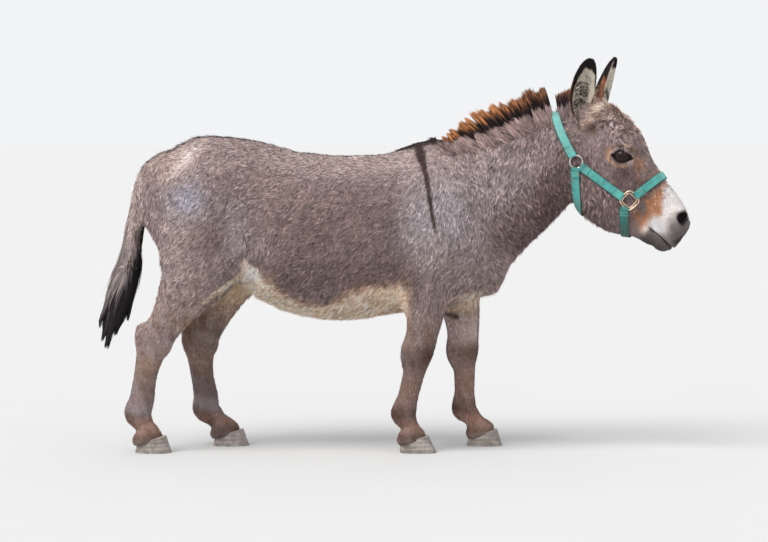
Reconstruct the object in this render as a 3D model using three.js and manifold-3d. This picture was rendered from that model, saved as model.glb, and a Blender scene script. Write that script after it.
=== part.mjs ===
// A standing donkey at life size, in a webbing halter, with its head turned a little to its right.
// Millimetres, +Z up, nose towards +X, right side towards -Y, soles on Z = 0.
// The body is one implicit form, a smooth union of muscles and bones, meshed and parted with thin cuts.
import * as THREE from "three";
import { mergeVertices } from "three/addons/utils/BufferGeometryUtils.js";
import Module from "manifold-3d";

const wasm = await Module();
wasm.setup();

// ---------------------------------------------------------------- driving dimensions
const GAP = 0.4; // clearance between neighbouring parts
const FINENESS = 0.12; // corners closer to flat than this are left out
const RIGHT = -1;
const LEFT = 1;
const SIDES = { right: RIGHT, left: LEFT };

// Trunk sections from buttock to breast: [x, top, bottom, half width].
const TRUNK = [
  [-678, 872, 660, 60],
  [-640, 901, 600, 110],
  [-564, 943, 545, 142],
  [-470, 938, 545, 158],
  [-380, 918, 512, 172],
  [-290, 899, 423, 188],
  [-190, 887, 391, 198],
  [-90, 887, 395, 192],
  [10, 893, 413, 172],
  [90, 910, 422, 146],
  [170, 900, 425, 122],
  [250, 850, 455, 98],
];
const TRUNK_EGG = 0.16; // the barrel is this much wider low down

// Neck sections from shoulder to poll: [x, y, z, half depth, half width].
const NECK = [
  [190, 0, 708, 208, 116],
  [264, -2, 744, 191, 104],
  [334, -5, 782, 176, 92],
  [400, -10, 826, 158, 80],
  [460, -16, 872, 138, 70],
  [510, -22, 918, 120, 64],
];
const NECK_EGG = 0.38; // the crest is thinner than the throat side

// The head's own frame starts at the poll: s runs down the face, y to its left, t out of the forehead.
const POLL = [560, -24, 1040];
const HEAD_PITCH = 57; // degrees below level
const HEAD_YAW = 14; // degrees towards the donkey's right
const EYE = { s: 205, y: 68, t: 30, r: 27 };

// Leg joints in the standing pose, [x, y, z]; y is the distance from the middle line.
const FORELEGS = {
  right: { elbow: [97, 106, 452], knee: [75, 97, 303], fetlock: [35, 94, 116], coronet: [60, 95, 46] },
  left: { elbow: [202, 106, 440], knee: [214, 97, 292], fetlock: [221, 94, 112], coronet: [272, 95, 45] },
};
const HINDLEGS = {
  right: { hip: [-578, 84, 770], stifle: [-566, 116, 560], hock: [-712, 90, 328], fetlock: [-756, 92, 120], coronet: [-722, 95, 46] },
  left: { hip: [-560, 84, 770], stifle: [-492, 116, 550], hock: [-585, 90, 312], fetlock: [-564, 92, 115], coronet: [-500, 95, 45] },
};
// Sections down a leg: [bone + share of its length, shift to the front, half depth, half width].
const FORE_SECTIONS = [
  [0.0, 0, 64, 46],
  [0.3, 4, 57, 43],
  [0.65, 4, 50, 39],
  [1.0, 1, 47, 39],
  [1.17, 0, 41, 33],
  [1.38, 1, 34, 27],
  [1.7, -1, 32, 25],
  [1.86, -3, 36, 28],
  [2.0, -4, 39, 32],
  [2.25, -1, 32, 29],
  [2.5, 3, 26, 27],
  [2.8, 1, 32, 33],
  [3.0, 2, 38, 35],
];
const HIND_SECTIONS = [
  [0.0, 0, 128, 58],
  [0.5, 4, 126, 70],
  [1.0, -10, 121, 66],
  [1.3, -3, 88, 54],
  [1.62, 0, 62, 42],
  [1.85, 0, 52, 36],
  [2.0, 1, 56, 36],
  [2.2, -4, 43, 31],
  [2.5, -5, 36, 27],
  [2.82, -1, 39, 29],
  [3.0, -5, 42, 33],
  [3.25, -4, 36, 30],
  [3.5, 1, 27, 27],
  [3.8, 0, 33, 33],
  [4.0, -2, 38, 35],
];

// ---------------------------------------------------------------- implicit forms
const RAD = Math.PI / 180;
const sub = (a, b) => [a[0] - b[0], a[1] - b[1], a[2] - b[2]];
const add = (a, b) => [a[0] + b[0], a[1] + b[1], a[2] + b[2]];
const scale = (a, f) => [a[0] * f, a[1] * f, a[2] * f];
const dot = (a, b) => a[0] * b[0] + a[1] * b[1] + a[2] * b[2];
const cross = (a, b) => [a[1] * b[2] - a[2] * b[1], a[2] * b[0] - a[0] * b[2], a[0] * b[1] - a[1] * b[0]];
const unit = (a) => scale(a, 1 / Math.hypot(...a));
const mix = (a, b, f) => a.map((v, i) => v + (b[i] - v) * f);

// A form is { bound: [x, y, z, radius], at: (x, y, z) => signed distance }.
function smoothUnion(a, b, k) {
  const h = Math.max(k - Math.abs(a - b), 0) / k;
  return Math.min(a, b) - (h * h * k) / 4;
}

// Distance to an ellipsoid with radii a, b, c, true near its surface.
function ellipseDistance(x, y, z, a, b, c) {
  const [u, v, w] = [x / a, y / b, z / c];
  const k0 = Math.sqrt(u * u + v * v + w * w);
  const k1 = Math.sqrt((u * u) / (a * a) + (v * v) / (b * b) + (w * w) / (c * c));
  return k1 < 1e-9 ? -Math.min(a, b, c) : (k0 * (k0 - 1)) / k1;
}

// An ellipsoid, tipped nose down by tilt degrees about the Y axis.
function ball(centre, [a, b, c], tilt = 0) {
  const cos = Math.cos(tilt * RAD);
  const sin = Math.sin(tilt * RAD);
  const [cx, cy, cz] = centre;
  return {
    bound: [...centre, Math.max(a, b, c)],
    at: (x, y, z) => ellipseDistance((x - cx) * cos - (z - cz) * sin, y - cy, (x - cx) * sin + (z - cz) * cos, a, b, c),
  };
}

// Catmull-Rom between rows of numbers, so that a few sections give a smooth run of them.
function refine(rows, steps = 3) {
  const curve = (a, b, c, d, u) =>
    b + 0.5 * u * (c - a + u * (2 * a - 5 * b + 4 * c - d + u * (3 * (b - c) + d - a)));
  const out = [];
  for (let i = 0; i + 1 < rows.length; i++) {
    const [b, c] = [rows[i], rows[i + 1]];
    const [a, d] = [rows[i - 1] ?? b, rows[i + 2] ?? c];
    for (let j = 0; j < steps; j++) out.push(b.map((v, n) => curve(a[n], v, c[n], d[n], j / steps)));
  }
  out.push(rows.at(-1));
  return out;
}

// The smallest rough sphere round some points, each [x, y, z, reach, ...].
function boundOf(points) {
  const low = [0, 1, 2].map((n) => Math.min(...points.map((p) => p[n])));
  const high = [0, 1, 2].map((n) => Math.max(...points.map((p) => p[n])));
  const centre = mix(low, high, 0.5);
  return [...centre, Math.max(...points.map((p) => Math.hypot(...sub(p, centre)) + Math.max(p[3], p[4] ?? 0)))];
}

// A run of elliptic sections [x, y, z, half depth, half width]; egg widens the underside.
function sectionRun(sections, egg = 0, steps = 3) {
  const rows = refine(sections, steps);
  const links = rows.slice(1).map((end, i) => {
    const start = rows[i];
    const along = sub(end, start).slice(0, 3);
    const axis = unit(along);
    const side = unit(sub([0, 1, 0], scale(axis, axis[1])));
    const up = cross(axis, side);
    return { start, end, along, axis, side, up: up[2] < 0 ? scale(up, -1) : up, length2: dot(along, along) };
  });
  const at = (x, y, z) => {
    let best = 1e9;
    for (const { start, end, along, axis, side, up, length2 } of links) {
      const [dx, dy, dz] = [x - start[0], y - start[1], z - start[2]];
      const t = Math.min(Math.max((dx * along[0] + dy * along[1] + dz * along[2]) / length2, 0), 1);
      const [ex, ey, ez] = [dx - along[0] * t, dy - along[1] * t, dz - along[2] * t];
      const deep = start[3] + (end[3] - start[3]) * t;
      const wide = start[4] + (end[4] - start[4]) * t;
      if (Math.sqrt(ex * ex + ey * ey + ez * ez) - Math.max(deep, wide) > best) continue;
      const u = ex * up[0] + ey * up[1] + ez * up[2];
      const v = ex * side[0] + ey * side[1] + ez * side[2];
      const w = ex * axis[0] + ey * axis[1] + ez * axis[2];
      const broad = wide * (1 - egg * Math.min(Math.max(u / deep, -1), 1));
      best = Math.min(best, ellipseDistance(w, u, v, Math.min(deep, wide), deep, broad));
    }
    return best;
  };
  return { bound: boundOf(rows), at };
}

// The smooth union of [breadth of the blend, form] pairs.
function joined(parts) {
  const at = (x, y, z) => {
    let d = 1e9;
    for (const [k, form] of parts) {
      const [cx, cy, cz, r] = form.bound;
      if (Math.hypot(x - cx, y - cy, z - cz) - r > d + k) continue;
      d = smoothUnion(d, form.at(x, y, z), k);
    }
    return d;
  };
  return { bound: boundOf(parts.map(([, form]) => form.bound)), at };
}

const trunkRun = sectionRun(TRUNK.map(([x, top, bottom, wide]) => [x, 0, (top + bottom) / 2, (top - bottom) / 2, wide]), TRUNK_EGG);
const neckRun = sectionRun(NECK, NECK_EGG);

function legRun(joints, sections, side) {
  const points = Object.values(joints).map(([x, y, z]) => [x, side * y, z]);
  const rows = sections.map(([at, front, deep, wide]) => {
    const bone = Math.min(Math.floor(at), points.length - 2);
    const place = mix(points[bone], points[bone + 1], at - bone);
    return [place[0] + front, place[1], place[2], deep, wide];
  });
  return sectionRun(rows);
}

// Muscles and bony points that show under the coat: [k, form], k being the breadth of the blend.
function muscles(side) {
  const y = (v) => side * v;
  const fore = FORELEGS[side === RIGHT ? "right" : "left"];
  const hind = HINDLEGS[side === RIGHT ? "right" : "left"];
  const lead = fore.elbow[0] - 150;
  return [
    [70, ball([172 + lead * 0.25, y(88), 690], [88, 42, 165], -14)], // shoulder blade
    [50, ball([215 + lead * 0.5, y(86), 560], [92, 46, 84], 20)], // point of the shoulder
    [50, ball([120 + lead * 0.7, y(104), 545], [84, 42, 112], 12)], // upper arm
    [50, ball([264, y(48), 556], [55, 46, 86], -24)], // breast
    [70, ball([-490, y(84), 838], [88, 42, 56], 10)], // hip
    [60, ball([-684, y(30), 816], [48, 50, 52], 0)], // pin bone and tail head
    [60, ball([-632, y(70), 716], [84, 56, 134], 6)], // buttock
    [50, ball([hind.stifle[0] + 48, y(118), hind.stifle[2] + 4], [60, 44, 66], 24)], // stifle
    [30, ball([hind.hock[0] - 29, y(hind.hock[1]), hind.hock[2] + 22], [18, 15, 34], -22)], // point of the hock
    [24, ball([fore.knee[0] - 23, y(fore.knee[1]), fore.knee[2] - 4], [20, 20, 30])], // back of the knee
    [16, ball([fore.coronet[0] - 24, y(fore.coronet[1]), fore.coronet[2] - 10], [22, 30, 18], -20)], // heel bulb
    [16, ball([hind.coronet[0] - 32, y(hind.coronet[1]), hind.coronet[2] - 10], [22, 30, 18], -20)],
  ];
}

const headBasis = (() => {
  const [cp, sp] = [Math.cos(HEAD_PITCH * RAD), Math.sin(HEAD_PITCH * RAD)];
  const [cy, sy] = [Math.cos(HEAD_YAW * RAD), Math.sin(HEAD_YAW * RAD)];
  return { s: [cp * cy, -cp * sy, -sp], y: [sy, cy, 0], t: [sp * cy, -sp * sy, cp] };
})();
const toHead = (p) => {
  const d = sub(p, POLL);
  return [dot(d, headBasis.s), dot(d, headBasis.y), dot(d, headBasis.t)];
};
const fromHead = ([s, y, t]) => add(POLL, add(scale(headBasis.s, s), add(scale(headBasis.y, y), scale(headBasis.t, t))));

// The head in its own frame, [k, form] with coordinates (s, y, t).
function headMuscles(side) {
  const y = (v) => side * v;
  return [
    [36, ball([182, y(52), 40], [56, 34, 42])], // brow over the eye socket
    [40, ball([242, y(36), -63], [131, 38, 109], 0)], // cheek
    [24, sectionRun([[280, y(26), -114, 46, 26], [345, y(20), -100, 42, 22], [398, y(14), -62, 28, 18], [440, y(12), -36, 24, 18]])], // jaw
    [22, ball([454, y(26), 50], [40, 25, 35])], // nostril
    [30, ball([48, y(42), 4], [40, 28, 36])], // root of the ear
  ];
}
const HEAD_MIDDLE = [
  [40, ball([76, 0, 2], [92, 60, 68])], // cranium
  [40, ball([148, 0, 37], [100, 66, 62])], // forehead
  [40, sectionRun([[200, 0, 38, 56, 58], [270, 0, 38, 54, 48], [340, 0, 41, 54, 43], [410, 0, 44, 56, 43], [440, 0, 40, 54, 44], [462, 0, 34, 40, 38]])], // nose
  [24, ball([472, 0, 8], [41, 39, 37])], // upper lip
  [24, ball([465, 0, -21], [42, 33, 27])], // lower lip and chin
  [40, sectionRun([[250, 0, -80, 70, 30], [340, 0, -57, 51, 26], [420, 0, -27, 28, 24]])], // tongue and floor of the jaw
];
const headParts = [...HEAD_MIDDLE, ...headMuscles(RIGHT), ...headMuscles(LEFT)];

const headLocal = joined(headParts);
const headForm = {
  bound: [...fromHead(headLocal.bound.slice(0, 3)), headLocal.bound[3]],
  at: (x, y, z) => headLocal.at(...toHead([x, y, z])),
};
const foreLeg = (name) => legRun(FORELEGS[name], FORE_SECTIONS, SIDES[name]);
const hindLeg = (name) => legRun(HINDLEGS[name], HIND_SECTIONS, SIDES[name]);
const bodyForm = joined([
  [1, trunkRun],
  [90, neckRun],
  ...muscles(RIGHT),
  ...muscles(LEFT),
  [40, foreLeg("right")],
  [40, foreLeg("left")],
  [40, hindLeg("right")],
  [40, hindLeg("left")],
  [40, headForm],
]);

// ---------------------------------------------------------------- meshing
const range = (low, high, step) => {
  const n = Math.max(1, Math.round((high - low) / step));
  return Array.from({ length: n + 1 }, (_, i) => low + ((high - low) * i) / n);
};

// Surface nets on a box grid with the given lines; the outermost lines count as outside.
function surfaceNet(form, [xs, ys, zs]) {
  const [nx, ny, nz] = [xs.length, ys.length, zs.length];
  const at = (i, j, k) => (k * ny + j) * nx + i;
  const value = new Float64Array(nx * ny * nz).fill(1);
  for (let k = 1; k < nz - 1; k++)
    for (let j = 1; j < ny - 1; j++)
      for (let i = 1; i < nx - 1; i++) value[at(i, j, k)] = form.at(xs[i], ys[j], zs[k]) || 1e-6;
  const vertexOf = new Int32Array(nx * ny * nz).fill(-1);
  const vertices = [];
  const corners = [0, 1, 2, 3, 4, 5, 6, 7].map((c) => [c & 1, (c >> 1) & 1, c >> 2]);
  const edges = corners.flatMap((a, m) => corners.slice(m + 1).filter((b) => Math.abs(a[0] - b[0]) + Math.abs(a[1] - b[1]) + Math.abs(a[2] - b[2]) === 1).map((b) => [a, b]));
  const point = (i, j, k) => [xs[i], ys[j], zs[k]];
  for (let k = 0; k < nz - 1; k++)
    for (let j = 0; j < ny - 1; j++)
      for (let i = 0; i < nx - 1; i++) {
        const crossings = [];
        for (const [a, b] of edges) {
          const va = value[at(i + a[0], j + a[1], k + a[2])];
          const vb = value[at(i + b[0], j + b[1], k + b[2])];
          if (va < 0 !== vb < 0) crossings.push(mix(point(i + a[0], j + a[1], k + a[2]), point(i + b[0], j + b[1], k + b[2]), va / (va - vb)));
        }
        if (!crossings.length) continue;
        const rim = i === 0 || j === 0 || k === 0 || i === nx - 2 || j === ny - 2 || k === nz - 2;
        const middle = scale(crossings.reduce(add), 1 / crossings.length);
        vertexOf[at(i, j, k)] = vertices.length;
        vertices.push(rim ? middle : ontoSurface(form, middle));
      }
  const faces = [];
  const quad = (a, b, c, d, flip) => {
    const q = (flip ? [a, d, c, b] : [a, b, c, d]).map((v) => vertexOf[v]);
    const [p0, p1, p2, p3] = q.map((v) => vertices[v]);
    const short = Math.hypot(...sub(p0, p2)) < Math.hypot(...sub(p1, p3));
    faces.push(...(short ? [q[0], q[1], q[2], q[0], q[2], q[3]] : [q[1], q[2], q[3], q[1], q[3], q[0]]));
  };
  for (let k = 0; k < nz - 1; k++)
    for (let j = 0; j < ny - 1; j++)
      for (let i = 0; i < nx - 1; i++) {
        const inside = value[at(i, j, k)] < 0;
        if (j && k && inside !== value[at(i + 1, j, k)] < 0)
          quad(at(i, j - 1, k - 1), at(i, j, k - 1), at(i, j, k), at(i, j - 1, k), !inside);
        if (i && k && inside !== value[at(i, j + 1, k)] < 0)
          quad(at(i - 1, j, k - 1), at(i - 1, j, k), at(i, j, k), at(i, j, k - 1), !inside);
        if (i && j && inside !== value[at(i, j, k + 1)] < 0)
          quad(at(i - 1, j - 1, k), at(i, j - 1, k), at(i, j, k), at(i - 1, j, k), !inside);
      }
  return { vertices, faces };
}

// The form's slope at a point where its value is known.
function gradient(form, [x, y, z], value, step = 0.5) {
  return [form.at(x + step, y, z), form.at(x, y + step, z), form.at(x, y, z + step)].map((v) => (v - value) / step);
}

function ontoSurface(form, p) {
  let q = p;
  for (let pass = 0; pass < 2; pass++) {
    const value = form.at(...q);
    const g = gradient(form, q, value);
    q = sub(q, scale(g, value / Math.max(dot(g, g), 0.05)));
  }
  return q;
}

function solidOf(vertices, faces) {
  return new wasm.Manifold(
    new wasm.Mesh({ numProp: 3, vertProperties: new Float32Array(vertices.flat()), triVerts: new Uint32Array(faces) }),
  );
}

// The form's solid on a grid, thinned out to a tolerance, and that solid grown by the gap neighbours keep.
function formSolid(form, lines, tolerance) {
  const { vertices, faces } = surfaceNet(form, lines);
  const solid = solidOf(vertices, faces).simplify(tolerance);
  const { vertProperties, triVerts } = solid.getMesh();
  const grown = [];
  for (let i = 0; i < vertProperties.length; i += 3) {
    const v = [...vertProperties.subarray(i, i + 3)];
    grown.push(add(v, scale(unit(gradient(form, v, form.at(...v))), GAP)));
  }
  return { solid, grown: solidOf(grown, triVerts) };
}

function solidFrom(geometry) {
  const g = geometry.clone();
  for (const name of Object.keys(g.attributes)) if (name !== "position") g.deleteAttribute(name);
  const merged = mergeVertices(g, 1e-3);
  return new wasm.Manifold(
    new wasm.Mesh({ numProp: 3, vertProperties: merged.attributes.position.array, triVerts: new Uint32Array(merged.index.array) }),
  );
}

const largest = (solid) => solid.decompose().sort((a, b) => b.volume() - a.volume())[0];

// A block whose face lies on the plane through a point, on the side that the normal points to.
function beyond(point, normal, size = 3000) {
  const block = new THREE.BoxGeometry(size, size, size).translate(0, 0, size / 2);
  const turn = new THREE.Quaternion().setFromUnitVectors(new THREE.Vector3(0, 0, 1), new THREE.Vector3(...unit(normal)));
  block.applyQuaternion(turn).translate(...point);
  return solidFrom(block);
}
function block(low, high) {
  const size = sub(high, low);
  return solidFrom(new THREE.BoxGeometry(...size).translate(...mix(low, high, 0.5)));
}

// A closed solid through rings of as many points each; its ends are zipped shut.
function loft(rings) {
  const n = rings[0].length;
  const faces = [];
  for (let r = 0; r + 1 < rings.length; r++)
    for (let i = 0; i < n; i++) {
      const [a, b] = [r * n + i, r * n + ((i + 1) % n)];
      faces.push(a, b, b + n, a, b + n, a + n);
    }
  const zip = (base, flip) => {
    for (let low = 0, high = n - 1; high - low > 1; ) {
      const third = (low + n - 1 - high) % 2 ? high - 1 : low + 1;
      const [p, q, r] = [base + low, base + third, base + high];
      faces.push(...(flip ? [p, q, r] : [p, r, q]));
      if (third === low + 1) low++;
      else high--;
    }
  };
  zip(0, false);
  zip((rings.length - 1) * n, true);
  const made = solidOf(rings.flat(), faces);
  return made.volume() < 0 ? solidOf(rings.flat(), [...faces].reverse()) : made;
}

const together = (solids) => solids.reduce((a, b) => a.add(b));

// ---------------------------------------------------------------- the body and its cuts
const NECK_CUT = { point: [250, 0, 735], normal: [0.876, 0, 0.482] };
const HEAD_CUT = { point: [505, 0, 880], normal: [0.977, 0, 0.213] };
const HIND_CUT = { point: [-590, 0, 560], normal: [-0.343, 0, -0.939] };
const FLANK_X = -425; // the hind legs' cut ends here, at the fold of the flank
const TAIL_X = -748; // the tail leaves the rump through this upright face
const ELBOW_LEVEL = 432;
const KNEE_LEVEL = 252;
const HOCK_LEVEL = 266;
const LEG_INSET = 26; // the fore legs are parted from the breastbone this far from the middle
const CORONET_DROP = 5; // the hoof's top lies this far under the coronet joint
const CORONET_NORMAL = [-0.39, 0, 0.92];

const side = (cut, by = 0) => beyond(add(cut.point, scale(unit(cut.normal), by)), cut.normal);
const above = (z) => beyond([0, 0, z], [0, 0, 1]);
const below = (z) => beyond([0, 0, z], [0, 0, -1]);

// Grid lines whose step changes along the way: [start, [end, step], [end, step], ...].
function lines(start, ...stretches) {
  const out = [start];
  for (const [end, step] of stretches) out.push(...range(out.at(-1), end, step).slice(1));
  return out;
}

// The space that a fore leg takes out of the torso, drawn in by a margin on every face.
function foreBox(way, margin = 0) {
  const [inner, outer] = [LEG_INSET + margin, 300 - margin];
  const [low, high] = way === RIGHT ? [-outer, -inner] : [inner, outer];
  return block([-30 + margin, low, -50], [380 - margin, high, ELBOW_LEVEL - margin]);
}
const hindSpace = (margin = 0) => side(HIND_CUT, margin).intersect(block([-1200, -400, -50], [FLANK_X - margin, 400, 900]));

const torsoGrid = [lines(-800, [-560, 32], [260, 48], [425, 34]), range(-250, 250, 40), lines(340, [520, 31], [980, 42])];
const neckGrid = [range(80, 620, 34), range(-170, 170, 28), range(440, 1110, 37)];
const headGrid = [range(430, 930, 18.5), range(-240, 110, 18), range(570, 1120, 19)];
const torsoBody = formSolid(bodyForm, torsoGrid, 1.1);
const neckBody = formSolid(bodyForm, neckGrid, 1);
const headBody = formSolid(bodyForm, headGrid, 1);
const grownBody = torsoBody.grown.intersect(beyond([NECK_CUT.point[0] + 30, 0, NECK_CUT.point[2]], scale(NECK_CUT.normal, -1)))
  .add(neckBody.grown.intersect(side(NECK_CUT, -20)).subtract(side(HEAD_CUT, 20)))
  .add(headBody.grown.intersect(side(HEAD_CUT, -20)));

function legBody(joints, way, top) {
  const points = Object.values(joints);
  const xs = [points[1], points[2], points.at(-1)].map((p) => p[0]);
  const grid = [
    range(Math.min(...xs) - (top > 500 ? 80 : 70), Math.max(...xs, top > 500 ? points[1][0] + 70 : -2000) + 80, top > 500 ? 22 : 20),
    range(way * 94 - (top > 500 ? 114 : 84), way * 94 + (top > 500 ? 114 : 84), top > 500 ? 20.5 : 19),
    lines(-30, [250, 23], [top, top > 500 ? 32 : 24]),
  ];
  const under = add(points.at(-1).map((v, i) => (i === 1 ? way * v : v)), [0, 0, -CORONET_DROP]);
  return { solid: formSolid(bodyForm, grid, 0.9).solid.intersect(beyond(add(under, [0, 0, GAP]), CORONET_NORMAL)), under };
}

// ---------------------------------------------------------------- hooves
const HOOF = { sole: [54, 38], coronet: [46, 36], points: 18, rings: 3 };
function hoof(under, ahead) {
  const rim = (u, [long, wide], centre) => {
    const turn = 2 * Math.PI * u;
    const heel = Math.cos(turn) < 0 ? 0.9 : 1;
    return [centre[0] + long * Math.cos(turn) * heel, centre[1] + wide * Math.sin(turn) * (0.94 + 0.06 * Math.cos(turn)), centre[2]];
  };
  const rings = [];
  for (let k = 0; k <= HOOF.rings; k++) {
    const f = k / HOOF.rings;
    rings.push(
      Array.from({ length: HOOF.points }, (_, i) => {
        const top = rim(i / HOOF.points, HOOF.coronet, under);
        top[2] -= ((top[0] - under[0]) * CORONET_NORMAL[0]) / CORONET_NORMAL[2];
        return mix(top, rim(i / HOOF.points, HOOF.sole, [under[0] + ahead, under[1], 0]), f);
      }),
    );
  }
  return loft(rings);
}

// ---------------------------------------------------------------- nodes
const donkey = new THREE.Group();
const coat = new THREE.MeshStandardMaterial({ color: 0x8b7d76, roughness: 0.95, metalness: 0 });
const darkHair = new THREE.MeshStandardMaterial({ color: 0x3a2b26, roughness: 0.9, metalness: 0 });
const maneHair = new THREE.MeshStandardMaterial({ color: 0x6b4630, roughness: 0.9, metalness: 0 });
const horn = new THREE.MeshStandardMaterial({ color: 0x8a8780, roughness: 0.7, metalness: 0 });
const eyeball = new THREE.MeshStandardMaterial({ color: 0x140d0a, roughness: 0.1, metalness: 0 });
const webbing = new THREE.MeshStandardMaterial({ color: 0x3fb09a, roughness: 0.8, metalness: 0 });
const steel = new THREE.MeshStandardMaterial({ color: 0xc9b9a8, roughness: 0.35, metalness: 1 });

function place(name, solid, material) {
  const mesh = largest(solid.simplify(FINENESS)).getMesh();
  const positions = new Float32Array(mesh.numVert * 3);
  for (let i = 0; i < mesh.numVert; i++)
    positions.set(mesh.vertProperties.subarray(i * mesh.numProp, i * mesh.numProp + 3), i * 3);
  const geometry = new THREE.BufferGeometry();
  geometry.setAttribute("position", new THREE.BufferAttribute(positions, 3));
  geometry.setIndex(new THREE.BufferAttribute(new Uint32Array(mesh.triVerts), 1));
  geometry.computeVertexNormals();
  const piece = new THREE.Mesh(geometry, material);
  piece.name = name;
  donkey.add(piece);
}

place(
  "torso",
  torsoBody.solid
    .subtract(side(NECK_CUT))
    .subtract(hindSpace())
    .subtract(foreBox(LEFT))
    .subtract(foreBox(RIGHT))
    .subtract(block([-1200, -60, 0], [TAIL_X, 60, 1000])),
  coat,
);
place("neck", neckBody.solid.intersect(side(NECK_CUT, GAP)).subtract(side(HEAD_CUT)), coat);

for (const [name, way] of Object.entries(SIDES)) {
  const fore = legBody(FORELEGS[name], way, ELBOW_LEVEL + 40);
  const foreLegSolid = fore.solid.intersect(foreBox(way, GAP));
  place("foreleg_upper_" + name, foreLegSolid.intersect(above(KNEE_LEVEL)), coat);
  place("foreleg_lower_" + name, foreLegSolid.intersect(below(KNEE_LEVEL - GAP)), coat);
  place("hoof_fore_" + name, hoof(fore.under, name === "right" ? 17 : 8), horn);
  const hind = legBody(HINDLEGS[name], way, 680);
  const half = way === RIGHT ? block([-1200, -400, 0], [0, -GAP / 2, 900]) : block([-1200, GAP / 2, 0], [0, 400, 900]);
  const hindLegSolid = hind.solid.intersect(half).intersect(hindSpace(GAP));
  place("hindleg_upper_" + name, hindLegSolid.intersect(above(HOCK_LEVEL)), coat);
  place("hindleg_lower_" + name, hindLegSolid.intersect(below(HOCK_LEVEL - GAP)), coat);
  place("hoof_hind_" + name, hoof(hind.under, 9), horn);
}

// ---------------------------------------------------------------- ears
// Each ear stands on the head at base, runs along axis and opens the way of open, in the part's frame.
const EARS = {
  right: { base: [553, -84, 980], axis: [29, -28, 184], open: [0.35, -0.93, 0], bow: [-7, 0, 0], length: 196, cup: 1 },
  left: { base: [622, 31, 980], axis: [49, 31, 194], open: [0.965, -0.26, 0], bow: [-4, 4, 0], length: 206, cup: 1.45 },
};
const EAR_THICK = 6;
// Down the ear: [share of its length, half width, depth of the cup].
const EAR_SECTIONS = [
  [0, 12, 20],
  [0.16, 27, 28],
  [0.42, 40, 25],
  [0.68, 38, 19],
  [0.86, 29, 13],
  [0.95, 20, 8],
  [1, 10, 4],
];
function ear({ base, axis, open, bow, length, cup: bent }) {
  const along = unit(axis);
  const out = unit(sub(open, scale(along, dot(open, along))));
  const across = cross(along, out);
  const spread = [-1, -0.8, -0.5, 0, 0.5, 0.8, 1];
  const row = ([share, wide, hollow]) => {
    const deep = hollow * bent;
    const centre = add(add(base, scale(along, share * length)), scale(bow, 4 * share * (1 - share)));
    return (q, inner) => {
      const w = Math.max(wide - (inner ? EAR_THICK * 0.5 : 0), 1.2);
      const d = deep * (1 - q * q) - (inner ? Math.min(EAR_THICK, deep * 0.6 + 1.5) : 0);
      return add(centre, add(scale(across, q * w), scale(out, -d)));
    };
  };
  const sections = refine(EAR_SECTIONS, 2);
  const shell = sections.map((section) => {
    const at = row(section);
    return [...spread.map((q) => at(q, false)), ...spread.toReversed().map((q) => at(q, true))];
  });
  const cup = sections.slice(1, 6).map((section) => {
    const at = row(section);
    return [...spread.map((q) => at(q, true)), ...[1, -1].map((q) => add(at(q, true), scale(out, 70)))];
  });
  return { solid: loft(shell), hollow: loft(cup) };
}

// ---------------------------------------------------------------- head
const headPoint = (s, y, t) => fromHead([s, y, t]);
const inHead = (solid) => {
  const m = new THREE.Matrix4().makeBasis(...["s", "y", "t"].map((n) => new THREE.Vector3(...headBasis[n]))).setPosition(...POLL);
  return solid.transform(m.elements);
};
const sphere = (r, wide = 12, high = 8) => new THREE.SphereGeometry(r, wide, high);
const eyeAt = (way) => headPoint(EYE.s, way * EYE.y, EYE.t);
const NOSTRIL = { at: [466, 40, 70], radii: [15, 15, 22], turn: 28 };
const MOUTH = { from: [434, -26], to: [524, -6], thick: 3, core: [64, 27, 60] };
const LID = { long: 29, high: 17, turn: 46, reach: 29, thick: 4.5 };

// A closed tube through points, with sides of the given radius.
function tube(points, radius, steps, sides = 6, closed = true) {
  const curve = new THREE.CatmullRomCurve3(points.map((p) => new THREE.Vector3(...p)), closed);
  const section = new THREE.Shape();
  for (let i = 0; i < sides; i++) {
    const turn = (2 * Math.PI * i) / sides;
    section[i ? "lineTo" : "moveTo"](radius * Math.cos(turn), radius * Math.sin(turn));
  }
  section.closePath();
  return solidFrom(new THREE.ExtrudeGeometry(section, { steps, extrudePath: curve, curveSegments: 1 }));
}

function lids(way) {
  const turn = LID.turn * RAD;
  const points = Array.from({ length: 12 }, (_, i) => {
    const a = (2 * Math.PI * i) / 12;
    const [u, v] = [LID.long * Math.cos(a), LID.high * Math.sin(a) * (0.75 + 0.25 * Math.abs(Math.sin(a)))];
    const [s, t] = [u * Math.cos(turn) - v * Math.sin(turn), u * Math.sin(turn) + v * Math.cos(turn)];
    const bulge = Math.sqrt(Math.max(LID.reach ** 2 - s * s - t * t, 0)) * 0.9 + 2;
    return headPoint(EYE.s + s, way * (EYE.y + bulge), EYE.t + t);
  });
  return tube(points, LID.thick, 15, 4);
}

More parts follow.
